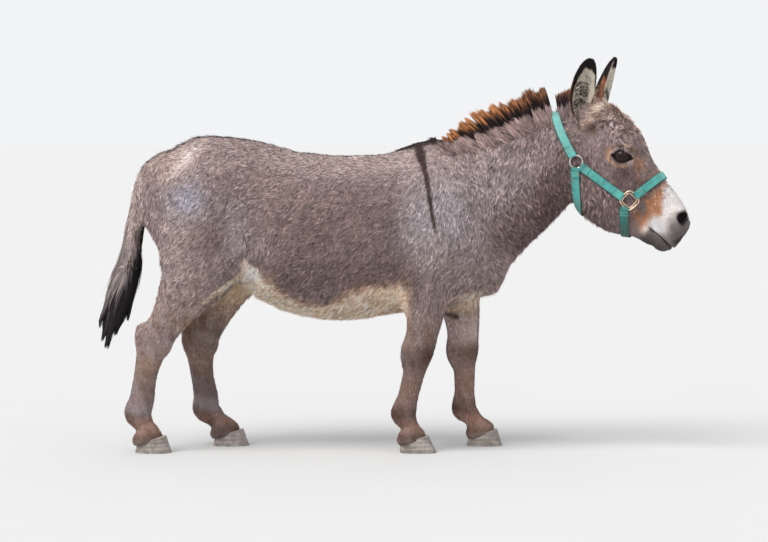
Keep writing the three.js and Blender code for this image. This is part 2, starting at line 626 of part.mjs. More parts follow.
let head = headBody.solid.intersect(side(HEAD_CUT, GAP));
const ears = { right: ear(EARS.right), left: ear(EARS.left) };
for (const { hollow } of Object.values(ears)) head = head.subtract(hollow);
for (const way of [RIGHT, LEFT]) {
  head = head.add(lids(way));
  const hole = new THREE.SphereGeometry(1, 10, 6).scale(...NOSTRIL.radii).rotateY(NOSTRIL.turn * RAD);
  head = head.subtract(inHead(solidFrom(hole.translate(NOSTRIL.at[0], way * NOSTRIL.at[1], NOSTRIL.at[2]))));
}
for (const way of [RIGHT, LEFT]) head = head.subtract(solidFrom(sphere(EYE.r + GAP).translate(...eyeAt(way))));
const mouthLine = sub([...MOUTH.to, 0], [...MOUTH.from, 0]);
const lipSlot = solidFrom(
  new THREE.BoxGeometry(Math.hypot(...mouthLine), 200, MOUTH.thick)
    .rotateY(-Math.atan2(mouthLine[1], mouthLine[0]))
    .translate((MOUTH.from[0] + MOUTH.to[0]) / 2, 0, (MOUTH.from[1] + MOUTH.to[1]) / 2),
).subtract(solidFrom(new THREE.SphereGeometry(1, 16, 10).scale(...MOUTH.core).translate(436, 0, -14)));
head = head.subtract(inHead(lipSlot));
place("head", head, coat);
for (const [name, way] of Object.entries(SIDES)) {
  place("eye_" + name, solidFrom(sphere(EYE.r).translate(...eyeAt(way))), eyeball);
  place("ear_" + name, ears[name].solid.subtract(grownBody), coat);
}

// ---------------------------------------------------------------- halter
const STRAP = { wide: 25, thick: 3, lift: 2.2 };
const RING = { at: [146, -93], radius: 19, wire: 2.5, sides: 14 };
const SQUARE = { at: [326, -23], radius: 28, wire: 3, sides: 4 };
const CHEEK = { from: [170, -87], to: [299, -37] };
// Straps that go round the head: [anchor, way from it to the middle of the strap, bow, half angle].
const CROWN = [RING.at, [-163, 20], 0.05, 72];
const THROAT = [[147, -97], [129, -69], -0.06, 73];
const NOSEBAND = [SQUARE.at, [-10, 115], 0, 62];
const CHIN = [[314, -34], [76, -52], 0, 61];

// The outermost point of the body on a ray from inside it, in the part's frame.
function surfaceOnRay(from, way, far = 260, form = bodyForm) {
  let outside = far;
  while (outside > 4 && form.at(...add(from, scale(way, outside - 4))) > 0) outside -= 4;
  let inside = outside - 4;
  for (let i = 0; i < 12; i++) {
    const middle = (inside + outside) / 2;
    if (form.at(...add(from, scale(way, middle))) > 0) outside = middle;
    else inside = middle;
  }
  return add(from, scale(way, outside));
}
const headWay = (s, y, t) => unit(add(scale(headBasis.s, s), add(scale(headBasis.y, y), scale(headBasis.t, t))));
const outwards = (p) => unit(gradient(bodyForm, p, bodyForm.at(...p)));

// Points of a strap that goes round the head from side to side; bow pushes its sides along the face.
function overPath([anchor, way, bow, half], steps) {
  const centre = headPoint(anchor[0], 0, anchor[1]);
  const [ws, wt] = unit([...way, 0]);
  return range(-half, half, (2 * half) / steps).map((angle) => {
    const [c, s] = [Math.cos(angle * RAD), Math.sin(angle * RAD)];
    const b = bow * Math.abs(2 * s * c);
    return surfaceOnRay(centre, headWay(ws * c - wt * b, s, wt * c + ws * b));
  });
}
function sidePath(way, from, to, steps) {
  return range(0, 1, 1 / steps).map((u) => {
    const [s, t] = mix(from, to, u);
    return surfaceOnRay(headPoint(s, 0, t), headWay(0, way, 0));
  });
}

// A flat strap that lies on the coat along a path, grown on every side by a margin.
function strap(path, margin = 0) {
  const rings = path.map((p, i) => {
    const along = unit(sub(path[Math.min(i + 1, path.length - 1)], path[Math.max(i - 1, 0)]));
    const normal = outwards(p);
    const across = unit(cross(normal, along));
    const edge = (way) => {
      const raw = add(p, scale(across, way * (STRAP.wide / 2 + margin)));
      return ontoSurface(bodyForm, raw);
    };
    const [low, high] = [edge(-1), edge(1)];
    const out = (q, by) => add(q, scale(outwards(q), by));
    const [under, over] = [STRAP.lift - margin, STRAP.lift + STRAP.thick + margin];
    return [out(low, under), out(p, under), out(high, under), out(high, over), out(p, over), out(low, over)];
  });
  return loft(rings);
}

// A wire frame lying on the cheek.
function frameOn(way, spec) {
  const centre = surfaceOnRay(headPoint(spec.at[0], 0, spec.at[1]), headWay(0, way, 0));
  const normal = outwards(centre);
  const torus = new THREE.TorusGeometry(spec.radius, spec.wire, 5, spec.sides);
  torus.rotateZ(spec.sides === 4 ? way * 0.2 : 0);
  const turn = new THREE.Quaternion().setFromUnitVectors(new THREE.Vector3(0, 0, 1), new THREE.Vector3(...normal));
  return solidFrom(torus.applyQuaternion(turn).translate(...add(centre, scale(normal, STRAP.lift + spec.wire + 2))));
}

const crownPath = overPath(CROWN, 16);
const crownSpace = strap(crownPath, 2); // kept clear of hair
place("halter_crown", strap(crownPath).subtract(grownBody), webbing);
place("halter_throat", strap(overPath(THROAT, 14)).subtract(grownBody), webbing);
place("halter_noseband", strap(overPath(NOSEBAND, 14)).subtract(grownBody), webbing);
place("halter_chin", strap(overPath(CHIN, 12)).subtract(grownBody), webbing);
for (const [name, way] of Object.entries(SIDES)) {
  place("halter_cheek_" + name, strap(sidePath(way, CHEEK.from, CHEEK.to, 7)).subtract(grownBody), webbing);
  place("halter_ring_" + name, frameOn(way, RING), steel);
  place("halter_square_" + name, frameOn(way, SQUARE), steel);
}

// ---------------------------------------------------------------- locks of hair
let seed = 7;
function random() {
  seed = (seed * 16807) % 2147483647;
  return seed / 2147483647;
}
const around = (spread) => (random() * 2 - 1) * spread;

// A flat, tapered lock from root through bend to tip; width lies along side.
function lock(root, bend, tip, sideways, width, thick, segments = 4) {
  const rings = [];
  for (let i = 0; i <= segments; i++) {
    const u = i / segments;
    const at = add(add(scale(root, (1 - u) ** 2), scale(bend, 2 * u * (1 - u))), scale(tip, u * u));
    const along = unit(sub(mix(bend, tip, u), mix(root, bend, u)));
    const wide = unit(sub(sideways, scale(along, dot(sideways, along))));
    const flat = cross(along, wide);
    const taper = u < 0.35 ? 0.85 + 0.43 * u : Math.max(1 - ((u - 0.35) / 0.65) ** 1.6, 0.1);
    rings.push([
      add(at, scale(wide, (width / 2) * taper)),
      add(at, scale(flat, (thick / 2) * taper)),
      add(at, scale(wide, (-width / 2) * taper)),
      add(at, scale(flat, (-thick / 2) * taper)),
    ]);
  }
  return loft(rings);
}

// ---------------------------------------------------------------- mane
// The crest of the neck: [x, y, z of the skin, length of the hair].
const CREST = [
  [138, 0, 905, 26],
  [180, 0, 912, 50],
  [235, -2, 930, 76],
  [300, -4, 956, 82],
  [370, -8, 982, 82],
  [430, -13, 1003, 84],
  [474, -17, 1015, 74],
];
const MANE = { rows: [-7, 7], pitch: 19.5, width: 28, thick: 11, core: 0.42 };
const crestAt = (u) => {
  const rows = refine(CREST, 6);
  const f = Math.min(Math.max(u, 0), 0.9999) * (rows.length - 1);
  return mix(rows[Math.floor(f)], rows[Math.floor(f) + 1], f - Math.floor(f));
};
const crestUp = (u) => {
  const along = sub(crestAt(u + 0.02), crestAt(u - 0.02));
  return unit([-along[2], 0, along[0]]);
};
function mane() {
  const count = Math.round(352 / MANE.pitch);
  const pieces = [];
  const coreRings = Array.from({ length: 13 }, (_, i) => {
    const [at, up] = [crestAt(i / 12), crestUp(i / 12)];
    const tall = at[3] * MANE.core;
    return [[-14, -24], [-9, tall * 0.8], [0, tall], [9, tall * 0.8], [14, -24]].map(([y, h]) => add(at.slice(0, 3), add(scale(up, h), [0, y, 0])));
  });
  pieces.push(loft(coreRings));
  for (const row of MANE.rows)
    for (let i = 0; i < count; i++) {
      const u = (i + 0.5 + 0.33 * Math.sign(row)) / count;
      const [x, y, z, length] = crestAt(u);
      const up = crestUp(u);
      const tall = length * (1 + around(0.09));
      const lean = around(0.16) - 0.02;
      const root = add([x, y + row * 0.7, z], scale(up, -12));
      const forward = [up[2], 0, -up[0]];
      const tip = add(add([x, y + row * 1.5 + around(4), z], scale(up, tall)), scale(forward, lean * tall));
      const bend = add(mix(root, tip, 0.55), [0, row * 0.5 + around(2), 0]);
      pieces.push(lock(root, bend, tip, forward, MANE.width * (1 + around(0.15)), MANE.thick, 3));
    }
  return together(pieces);
}

// The forelock stands between the ears, in front of the crown strap, and its front locks fall forward.
const FORELOCK = [
  [500, -16, 1016, -8, 62],
  [514, -22, 1023, -3, 66],
  [530, -12, 1031, 2, 66],
  [546, -26, 1039, 6, 60],
  [562, -16, 1045, 12, 54],
  [578, -26, 1049, 20, 46],
];
function forelock() {
  const pieces = FORELOCK.flatMap(([x, y, z, lean, length]) =>
    [-10, 8].map((off) => {
      const turn = lean * RAD;
      const root = [x - 4, y + off * 0.5, z - 40];
      const tip = [x + length * Math.sin(turn), y + off + around(4), z + (length - 14) * Math.cos(turn)];
      return lock(root, [x + 3, y + off * 0.8, z], tip, [1, 0.2, 0], 22, 12, 3);
    }),
  );
  pieces.push(loft(FORELOCK.map(([x, y, z]) => [[-18, -44], [-12, 8], [12, 8], [18, -44]].map(([dy, h]) => [x, -18 + dy, z + h]))));
  return together(pieces);
}
place("mane", mane().subtract(grownBody).subtract(crownSpace), maneHair);
place("forelock", forelock().subtract(grownBody).subtract(crownSpace), maneHair);

// ---------------------------------------------------------------- tail
// The dock under its short hair: [x, y, z, half depth, half width].
const DOCK = [
  [-692, 0, 858, 20, 24],
  [-730, 0, 832, 24, 26],
  [-756, 0, 792, 22, 24],
  [-770, 0, 735, 21, 24],
  [-776, 0, 666, 25, 26],
  [-785, 0, 600, 29, 28],
  [-796, 0, 540, 30, 28],
];
const SWITCH_LEVEL = 612;
const dockForm = sectionRun(DOCK);
const dock = formSolid(dockForm, [range(-840, -690, 14), range(-44, 44, 14), range(490, 910, 26)], 0.8).solid
  .intersect(block([-1200, -60, SWITCH_LEVEL], [TAIL_X - GAP, 60, 1000]));
place("tail_dock", dock.subtract(grownBody), coat);

function tailSwitch() {
  const core = sectionRun([...DOCK.slice(5), [-806, 0, 470, 26, 22], [-820, 0, 425, 14, 12]]);
  const pieces = [formSolid(core, [range(-850, -740, 14), range(-44, 44, 12), range(390, 640, 22)], 1.5).solid.intersect(below(SWITCH_LEVEL - GAP))];
  const count = 14;
  for (let i = 0; i < count; i++) {
    const turn = i * 2.399; // the golden angle spreads the roots round the dock
    const low = i / (count - 1);
    const rootZ = 585 - 130 * low;
    const middle = -788 - (585 - rootZ) * 0.16;
    const root = [middle + 18 * Math.cos(turn), 16 * Math.sin(turn), rootZ];
    const tipZ = 452 - 128 * low + around(22);
    const back = (452 - tipZ) * 0.42;
    const tip = [-822 - back + 36 * Math.cos(turn) * (1 - 0.45 * low), 24 * Math.sin(turn) * (1 - 0.4 * low), tipZ];
    const bend = add(mix(root, tip, 0.5), [10 * Math.cos(turn), 9 * Math.sin(turn), 0]);
    pieces.push(lock(root, bend, tip, [-Math.sin(turn), Math.cos(turn), 0], 28, 13, 3));
  }
  return together(pieces);
}
place("tail_switch", tailSwitch().intersect(below(SWITCH_LEVEL - GAP)), darkHair);

const box = new THREE.Box3().setFromObject(donkey);
const middle = box.getCenter(new THREE.Vector3());
donkey.position.set(-middle.x, -middle.y, 0);

export default donkey;
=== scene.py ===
"""A standing donkey in a webbing halter, dressed for its portrait.

The body is the same smooth union of muscles as the solids, meshed finer as one skin under a short coat of
mesh tufts. Lengths are millimetres in the body's own frame (nose +X, right side -Y) until a mesh is made.
"""

import math
import time

import bpy
import numpy as np
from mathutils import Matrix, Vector


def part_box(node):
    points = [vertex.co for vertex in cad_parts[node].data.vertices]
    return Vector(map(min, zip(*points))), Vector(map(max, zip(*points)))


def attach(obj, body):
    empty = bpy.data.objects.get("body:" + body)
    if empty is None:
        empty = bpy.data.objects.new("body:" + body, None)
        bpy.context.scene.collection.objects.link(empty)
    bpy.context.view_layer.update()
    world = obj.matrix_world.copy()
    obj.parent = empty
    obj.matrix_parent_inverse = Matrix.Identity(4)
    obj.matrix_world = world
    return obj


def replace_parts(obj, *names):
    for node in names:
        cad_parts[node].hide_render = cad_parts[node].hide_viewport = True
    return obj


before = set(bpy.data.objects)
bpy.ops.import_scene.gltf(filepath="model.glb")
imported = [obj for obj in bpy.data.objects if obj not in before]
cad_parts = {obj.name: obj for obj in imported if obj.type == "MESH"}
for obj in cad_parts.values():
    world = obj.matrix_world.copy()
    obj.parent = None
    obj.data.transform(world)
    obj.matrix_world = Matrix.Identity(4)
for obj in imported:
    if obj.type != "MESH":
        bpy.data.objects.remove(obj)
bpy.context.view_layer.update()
rng = np.random.default_rng(11)
BEGAN = time.time()
scene = bpy.context.scene
MM = 0.001  # Blender works in metres

# ------------------------------------------------------------------ named sizes, as in the solids
# Lengths are millimetres, angles degrees. The head's own axes are s down the face, y to its left and t out
# of the forehead.
RIGHT, LEFT = -1, 1
SIDES = {"right": RIGHT, "left": LEFT}
TRUNK = [  # x, top, bottom, half width
    (-678, 872, 660, 60), (-640, 901, 600, 110), (-564, 943, 545, 142), (-470, 938, 545, 158),
    (-380, 918, 512, 172), (-290, 899, 423, 188), (-190, 887, 391, 198), (-90, 887, 395, 192),
    (10, 893, 413, 172), (90, 910, 422, 146), (170, 900, 425, 122), (250, 850, 455, 98),
]
TRUNK_EGG = 0.16
NECK = [  # x, y, z, half depth, half width
    (190, 0, 708, 208, 116), (264, -2, 744, 191, 104), (334, -5, 782, 176, 92),
    (400, -10, 826, 158, 80), (460, -16, 872, 138, 70), (510, -22, 918, 120, 64),
]
NECK_EGG = 0.38
POLL = np.array([560.0, -24, 1040])
HEAD_PITCH, HEAD_YAW = 57, 14
LID = {"long": 31, "up": 18.5, "down": 16.5, "turn": 48, "thick": 2.4}
EYE = {"s": 205, "y": 68, "t": 30, "r": 27}
EYE_MIDDLE = np.array([EYE["s"], EYE["y"], EYE["t"]], float)
EYE_SOCKET = 5  # how far the skin lies behind the eyeball's surface between the lids
FORELEGS = {
    "right": [(97, 106, 452), (75, 97, 303), (35, 94, 116), (60, 95, 46)],
    "left": [(202, 106, 440), (214, 97, 292), (221, 94, 112), (272, 95, 45)],
}
HINDLEGS = {
    "right": [(-578, 84, 770), (-566, 116, 560), (-712, 90, 328), (-756, 92, 120), (-722, 95, 46)],
    "left": [(-560, 84, 770), (-492, 116, 550), (-585, 90, 312), (-564, 92, 115), (-500, 95, 45)],
}
FORE_SECTIONS = [  # bone + share of its length, shift to the front, half depth, half width
    (0.0, 0, 64, 46), (0.3, 4, 57, 43), (0.65, 4, 50, 39), (1.0, 1, 47, 39), (1.17, 0, 41, 33),
    (1.38, 1, 34, 27), (1.7, -1, 32, 25), (1.86, -3, 36, 28), (2.0, -4, 39, 32), (2.25, -1, 32, 29),
    (2.5, 3, 26, 27), (2.8, 1, 32, 33), (3.0, 2, 38, 35),
]
HIND_SECTIONS = [
    (0.0, 0, 128, 58), (0.5, 4, 126, 70), (1.0, -10, 121, 66), (1.3, -3, 88, 54), (1.62, 0, 62, 42),
    (1.85, 0, 52, 36), (2.0, 1, 56, 36), (2.2, -4, 43, 31), (2.5, -5, 36, 27), (2.82, -1, 39, 29),
    (3.0, -5, 42, 33), (3.25, -4, 36, 30), (3.5, 1, 27, 27), (3.8, 0, 33, 33), (4.0, -2, 38, 35),
]
DOCK = [  # x, y, z, half depth, half width
    (-692, 0, 858, 20, 24), (-730, 0, 832, 24, 26), (-756, 0, 792, 22, 24), (-770, 0, 735, 21, 24),
    (-776, 0, 666, 25, 26), (-785, 0, 600, 29, 28), (-796, 0, 540, 30, 28),
]
NECK_CUT = ((250, 0, 735), (0.876, 0, 0.482))
HEAD_CUT = ((505, 0, 880), (0.977, 0, 0.213))
CORONET_DROP = 5
CORONET_NORMAL = np.array([-0.22, 0, 0.9755])
HOOF = {"sole": (54, 38), "coronet": (46, 36)}
HOOF_AHEAD = {"fore_right": 17, "fore_left": 8, "hind_right": 9, "hind_left": 9}
EARS = {
    "right": {"base": (553, -84, 980), "axis": (29, -28, 184), "open": (0.35, -0.93, 0), "bow": (-7, 0, 0),
              "length": 196, "cup": 1.0},
    "left": {"base": (622, 31, 980), "axis": (49, 31, 194), "open": (0.965, -0.26, 0), "bow": (-4, 4, 0),
             "length": 206, "cup": 1.45},
}
EAR_THICK = 6
EAR_MARGIN = 1.6  # how far the dressed ear stays inside the solid one
EAR_SECTIONS = [
    (0, 12, 20), (0.16, 27, 28), (0.42, 40, 25), (0.68, 38, 19), (0.86, 29, 13), (0.95, 20, 8), (1, 10, 4),
]
CREST = [  # x, y, z of the skin, length of the hair
    (138, 0, 905, 20), (180, 0, 912, 42), (235, -2, 930, 70), (300, -4, 956, 80), (370, -8, 982, 82),
    (430, -13, 1003, 86), (474, -17, 1015, 80),
]


# ------------------------------------------------------------------ small vector helpers
def norm(a):
    return np.sqrt((a * a).sum(-1))


def unit(a):
    return a / np.maximum(norm(a), 1e-12)[..., None]


def vec(*a):
    return np.array(a, float)


def ramp(x, a, b):
    """0 at a, 1 at b, smooth between."""
    t = np.clip((x - a) / (b - a), 0, 1)
    return t * t * (3 - 2 * t)


def many(row, count):
    return np.tile(row, (count, 1))


def columns(*parts):
    return np.stack(parts, 1)


def bump(x, middle, width):
    return np.exp(-(((x - middle) / width) ** 2))


def mix(a, b, f):
    a, b, f = (np.asarray(v, float) for v in (a, b, f))
    if f.ndim == 1 and (max(a.ndim, b.ndim) == 2 or (a.shape == b.shape == (3,) and f.shape != (3,))):
        f = f[:, None]
    return a + (b - a) * f


def catmull(rows, steps):
    rows = np.array(rows, float)
    out = []
    for i in range(len(rows) - 1):
        b, c = rows[i], rows[i + 1]
        a = rows[i - 1] if i else b
        d = rows[i + 2] if i + 2 < len(rows) else c
        for j in range(steps):
            u = j / steps
            out.append(b + 0.5 * u * (c - a + u * (2 * a - 5 * b + 4 * c - d + u * (3 * (b - c) + d - a))))
    out.append(rows[-1])
    return np.array(out)


def at_share(rows, u):
    """Rows of numbers read at shares 0 to 1 of their count."""
    f = np.clip(u, 0, 0.99999) * (len(rows) - 1)
    i = f.astype(int)
    return rows[i] + (rows[i + 1] - rows[i]) * (f - i)[:, None]


class Waves:
    """Smooth seeded noise: a few sines in random directions, about -1 to 1."""

    def __init__(self, size, seed, count=7):
        r = np.random.default_rng(seed)
        self.k = unit(r.normal(size=(count, 3))) * (2 * np.pi / (size * r.uniform(0.6, 1.7, (count, 1))))
        self.phase = r.uniform(0, 2 * np.pi, count)
        self.gain = 1.6 / math.sqrt(count)

    def __call__(self, p):
        return np.sin(p @ self.k.T + self.phase).sum(-1) * self.gain * 0.7


# ------------------------------------------------------------------ implicit forms
class Form:
    def __init__(self, bound, at):
        self.centre, self.reach, self.at = np.array(bound[:3], float), bound[3], at


def smooth_union(a, b, k):
    h = np.maximum(k - np.abs(a - b), 0) / k
    return np.minimum(a, b) - h * h * k / 4


def ellipse_distance(x, y, z, a, b, c):
    u, v, w = x / a, y / b, z / c
    k0 = np.sqrt(u * u + v * v + w * w)
    k1 = np.sqrt((u / a) ** 2 + (v / b) ** 2 + (w / c) ** 2)
    return np.where(k1 < 1e-9, -np.minimum(np.minimum(a, b), c), k0 * (k0 - 1) / np.maximum(k1, 1e-9))


def ball(centre, radii, tilt=0):
    cos, sin = math.cos(math.radians(tilt)), math.sin(math.radians(tilt))

    def at(p):
        d = p - np.array(centre, float)
        return ellipse_distance(
            d[:, 0] * cos - d[:, 2] * sin, d[:, 1], d[:, 0] * sin + d[:, 2] * cos, *map(float, radii)
        )

    return Form((*centre, max(radii)), at)


def bound_of(points):
    points = np.array(points, float)
    reach = points[:, 3:5].max(1) if points.shape[1] > 4 else points[:, 3]
    centre = (points[:, :3].min(0) + points[:, :3].max(0)) / 2
    return (*centre, (norm(points[:, :3] - centre) + reach).max())


def section_run(sections, egg=0.0):
    """A run of elliptic sections (x, y, z, half depth, half width); egg widens the underside."""
    rows = catmull(sections, 3)
    links = []
    for start, end in zip(rows[:-1], rows[1:]):
        along = (end - start)[:3]
        axis = along / norm(along)
        side = unit(vec(0, 1, 0) - axis * axis[1])
        up = np.cross(axis, side)
        links.append((start, end, along, axis, side, -up if up[2] < 0 else up, along @ along))

    def at(p):
        best = np.full(len(p), 1e9)
        for start, end, along, axis, side, up, length2 in links:
            d = p - start[:3]
            t = np.clip(d @ along / length2, 0, 1)
            e = d - t[:, None] * along
            deep = start[3] + (end[3] - start[3]) * t
            wide = start[4] + (end[4] - start[4]) * t
            m = np.nonzero(norm(e) - np.maximum(deep, wide) <= best)[0]
            if not len(m):
                continue
            e, deep, wide = e[m], deep[m], wide[m]
            u = e @ up
            broad = wide * (1 - egg * np.clip(u / deep, -1, 1))
            near = ellipse_distance(e @ axis, u, e @ side, np.minimum(deep, wide), deep, broad)
            best[m] = np.minimum(best[m], near)
        return best

    return Form(bound_of(rows), at)


def joined(parts):
    """The smooth union of (breadth of the blend, form) pairs."""

    def at(p):
        d = np.full(len(p), 1e9)
        for k, form in parts:
            m = np.nonzero(norm(p - form.centre) - form.reach <= d + k)[0]
            if len(m):
                d[m] = smooth_union(d[m], form.at(p[m]), k)
        return d

    return Form(bound_of([(*f.centre, f.reach) for _, f in parts]), at)


def leg_run(points, sections, side):
    points = np.array([(x, side * y, z) for x, y, z in points], float)
    rows = []
    for at, front, deep, wide in sections:
        bone = min(int(at), len(points) - 2)
        x, y, z = points[bone] + (points[bone + 1] - points[bone]) * (at - bone)
        rows.append((x + front, y, z, deep, wide))
    return section_run(rows)


def muscles(side):
    fore = FORELEGS["right" if side == RIGHT else "left"]
    hind = HINDLEGS["right" if side == RIGHT else "left"]
    elbow, knee, coronet = fore[0], fore[1], fore[3]
    stifle, hock, heel = hind[1], hind[2], hind[4]
    lead = elbow[0] - 150
    return [
        (70, ball((172 + lead * 0.25, side * 88, 690), (88, 42, 165), -14)),
        (50, ball((215 + lead * 0.5, side * 86, 560), (92, 46, 84), 20)),
        (50, ball((120 + lead * 0.7, side * 104, 545), (84, 42, 112), 12)),
        (50, ball((264, side * 48, 556), (55, 46, 86), -24)),
        (70, ball((-490, side * 84, 838), (88, 42, 56), 10)),
        (60, ball((-684, side * 30, 816), (48, 50, 52))),
        (60, ball((-632, side * 70, 716), (84, 56, 134), 6)),
        (50, ball((stifle[0] + 48, side * 118, stifle[2] + 4), (60, 44, 66), 24)),
        (30, ball((hock[0] - 29, side * hock[1], hock[2] + 22), (18, 15, 34), -22)),
        (24, ball((knee[0] - 23, side * knee[1], knee[2] - 4), (20, 20, 30))),
        (16, ball((coronet[0] - 24, side * coronet[1], coronet[2] - 10), (22, 30, 18), -20)),
        (16, ball((heel[0] - 32, side * heel[1], heel[2] - 10), (22, 30, 18), -20)),
    ]


CP, SP = math.cos(math.radians(HEAD_PITCH)), math.sin(math.radians(HEAD_PITCH))
CY, SY = math.cos(math.radians(HEAD_YAW)), math.sin(math.radians(HEAD_YAW))
# Rows are the head's own axes: s down the face, y to its left, t out of the forehead.
HEAD_AXES = np.array([[CP * CY, -CP * SY, -SP], [SY, CY, 0], [SP * CY, -SP * SY, CP]])


def to_head(p):
    return (np.asarray(p, float) - POLL) @ HEAD_AXES.T


def from_head(q):
    return POLL + np.asarray(q, float) @ HEAD_AXES


def head_way(*q):
    return unit(np.array(q, float) @ HEAD_AXES)


def head_muscles(side):
    jaw = [(280, 26, -114, 46, 26), (345, 20, -100, 42, 22), (398, 14, -62, 28, 18), (440, 12, -36, 24, 18)]
    return [
        (36, ball((182, side * 52, 40), (56, 34, 42))),
        (40, ball((242, side * 36, -63), (131, 38, 109))),
        (24, section_run([(s, side * y, t, a, b) for s, y, t, a, b in jaw])),
        (22, ball((454, side * 26, 50), (40, 25, 35))),
        (30, ball((48, side * 42, 4), (40, 28, 36))),
    ]


HEAD_MIDDLE = [
    (40, ball((76, 0, 2), (92, 60, 68))), (40, ball((148, 0, 37), (100, 66, 62))),
    (
        40,
        section_run(
            [
                (200, 0, 38, 56, 58), (270, 0, 38, 54, 48), (340, 0, 41, 54, 43), (410, 0, 44, 56, 43),
                (440, 0, 40, 54, 44), (462, 0, 34, 40, 38)
            ]
        )
    ),
    (24, ball((472, 0, 8), (41, 39, 37))), (24, ball((465, 0, -21), (42, 33, 27))),
    (40, section_run([(250, 0, -80, 70, 30), (340, 0, -57, 51, 26), (420, 0, -27, 28, 24)])),
]
head_local = joined([*HEAD_MIDDLE, *head_muscles(RIGHT), *head_muscles(LEFT)])
head_form = Form(
    (*from_head(head_local.centre), head_local.reach), lambda p: head_local.at(to_head(p))
)
body_parts = [
    (1, section_run([(x, 0, (a + b) / 2, (a - b) / 2, w) for x, a, b, w in TRUNK], TRUNK_EGG)),
    (90, section_run(NECK, NECK_EGG)),
    *muscles(RIGHT),
    *muscles(LEFT),
    *[(40, leg_run(FORELEGS[n], FORE_SECTIONS, SIDES[n])) for n in SIDES],
    *[(40, leg_run(HINDLEGS[n], HIND_SECTIONS, SIDES[n])) for n in SIDES],
    (40, head_form),
]
body_form = joined(body_parts)
flesh_form = joined([*body_parts, (34, section_run(DOCK))])

# Frame place of the body's own origin, from the right eye, whose node is a ball.
low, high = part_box("eye_right")
SHIFT = np.array((low + high) / 2) * 1000 - from_head((EYE["s"], -EYE["y"], EYE["t"]))


def beyond(p, cut):
    """How far points lie past a cut plane."""
    return (p - np.array(cut[0], float)) @ np.array(cut[1], float)


# ------------------------------------------------------------------ where things are on the body
def regions(p):
    """Shares 0 to 1 of the regions at points of the body, and h, the points in the head's own axes."""
    h = to_head(p)
    face = ramp(beyond(p, HEAD_CUT), -25, 55)
    muzzle = ramp(h[:, 0], 330, 430) * face
    neck = ramp(beyond(p, NECK_CUT), -60, 60) * (1 - face)
    on_leg = ((p[:, 0] < -425) | (p[:, 0] > -45)) & (p[:, 0] < 400) & (face < 0.1)
    leg = np.where(on_leg, 1 - ramp(p[:, 2], 330, 500), 0)
    shank = np.where(on_leg, 1 - ramp(p[:, 2], 180, 330), 0)
    tail = ramp(-p[:, 0], 735, 762) * (p[:, 2] > 420)
    return {"h": h, "face": face, "muzzle": muzzle, "neck": neck, "leg": leg, "shank": shank, "tail": tail}


def below_neck(x, z):
    """How far points lie under the neck's middle line, towards the throat."""
    return 0.55 * (x - NECK[0][0]) - 0.84 * (z - NECK[0][2])


def coat_depth(p):
    r = regions(p)
    depth = 4.6 - 1.6 * r["leg"] - 0.7 * r["shank"] - 2.2 * r["face"] - 0.7 * r["muzzle"]
    return depth + 0.5 * r["neck"]


HOOVES = {}
for leg_name, legs in (("fore", FORELEGS), ("hind", HINDLEGS)):
    for side_name, points in legs.items():
        x, y, z = points[-1]
        HOOVES[f"{leg_name}_{side_name}"] = vec(x, SIDES[side_name] * y, z - CORONET_DROP)


def skin_distance(p):
    d = flesh_form.at(p) + coat_depth(p)
    h = to_head(p)
    from_eye = norm(columns(h[:, 0] - EYE["s"], np.abs(h[:, 1]) - EYE["y"], h[:, 2] - EYE["t"]))
    m = from_eye < 70
    d[m] = smooth_union(d[m], from_eye[m] - EYE["r"] - LID["thick"], 9)
    low_down = np.nonzero(p[:, 2] < 110)[0]
    for under in HOOVES.values():
        q = p[low_down] - under
        near = np.abs(q[:, :2]).max(1) < 75
        m = low_down[near]
        d[m] = np.maximum(d[m], -(q[near] @ CORONET_NORMAL) - 9)
    return d


SLOPE_STEP = 0.6


def slope(distance, p, value=None):
    if value is None:
        value = distance(p)
    return np.stack([(distance(p + SLOPE_STEP * np.eye(3)[i]) - value) / SLOPE_STEP for i in range(3)], 1)


def onto(distance, p, passes=2):
    for _ in range(passes):
        value = distance(p)
        g = slope(distance, p, value)
        p = p - g * (value / np.maximum((g * g).sum(1), 0.05))[:, None]
    return p


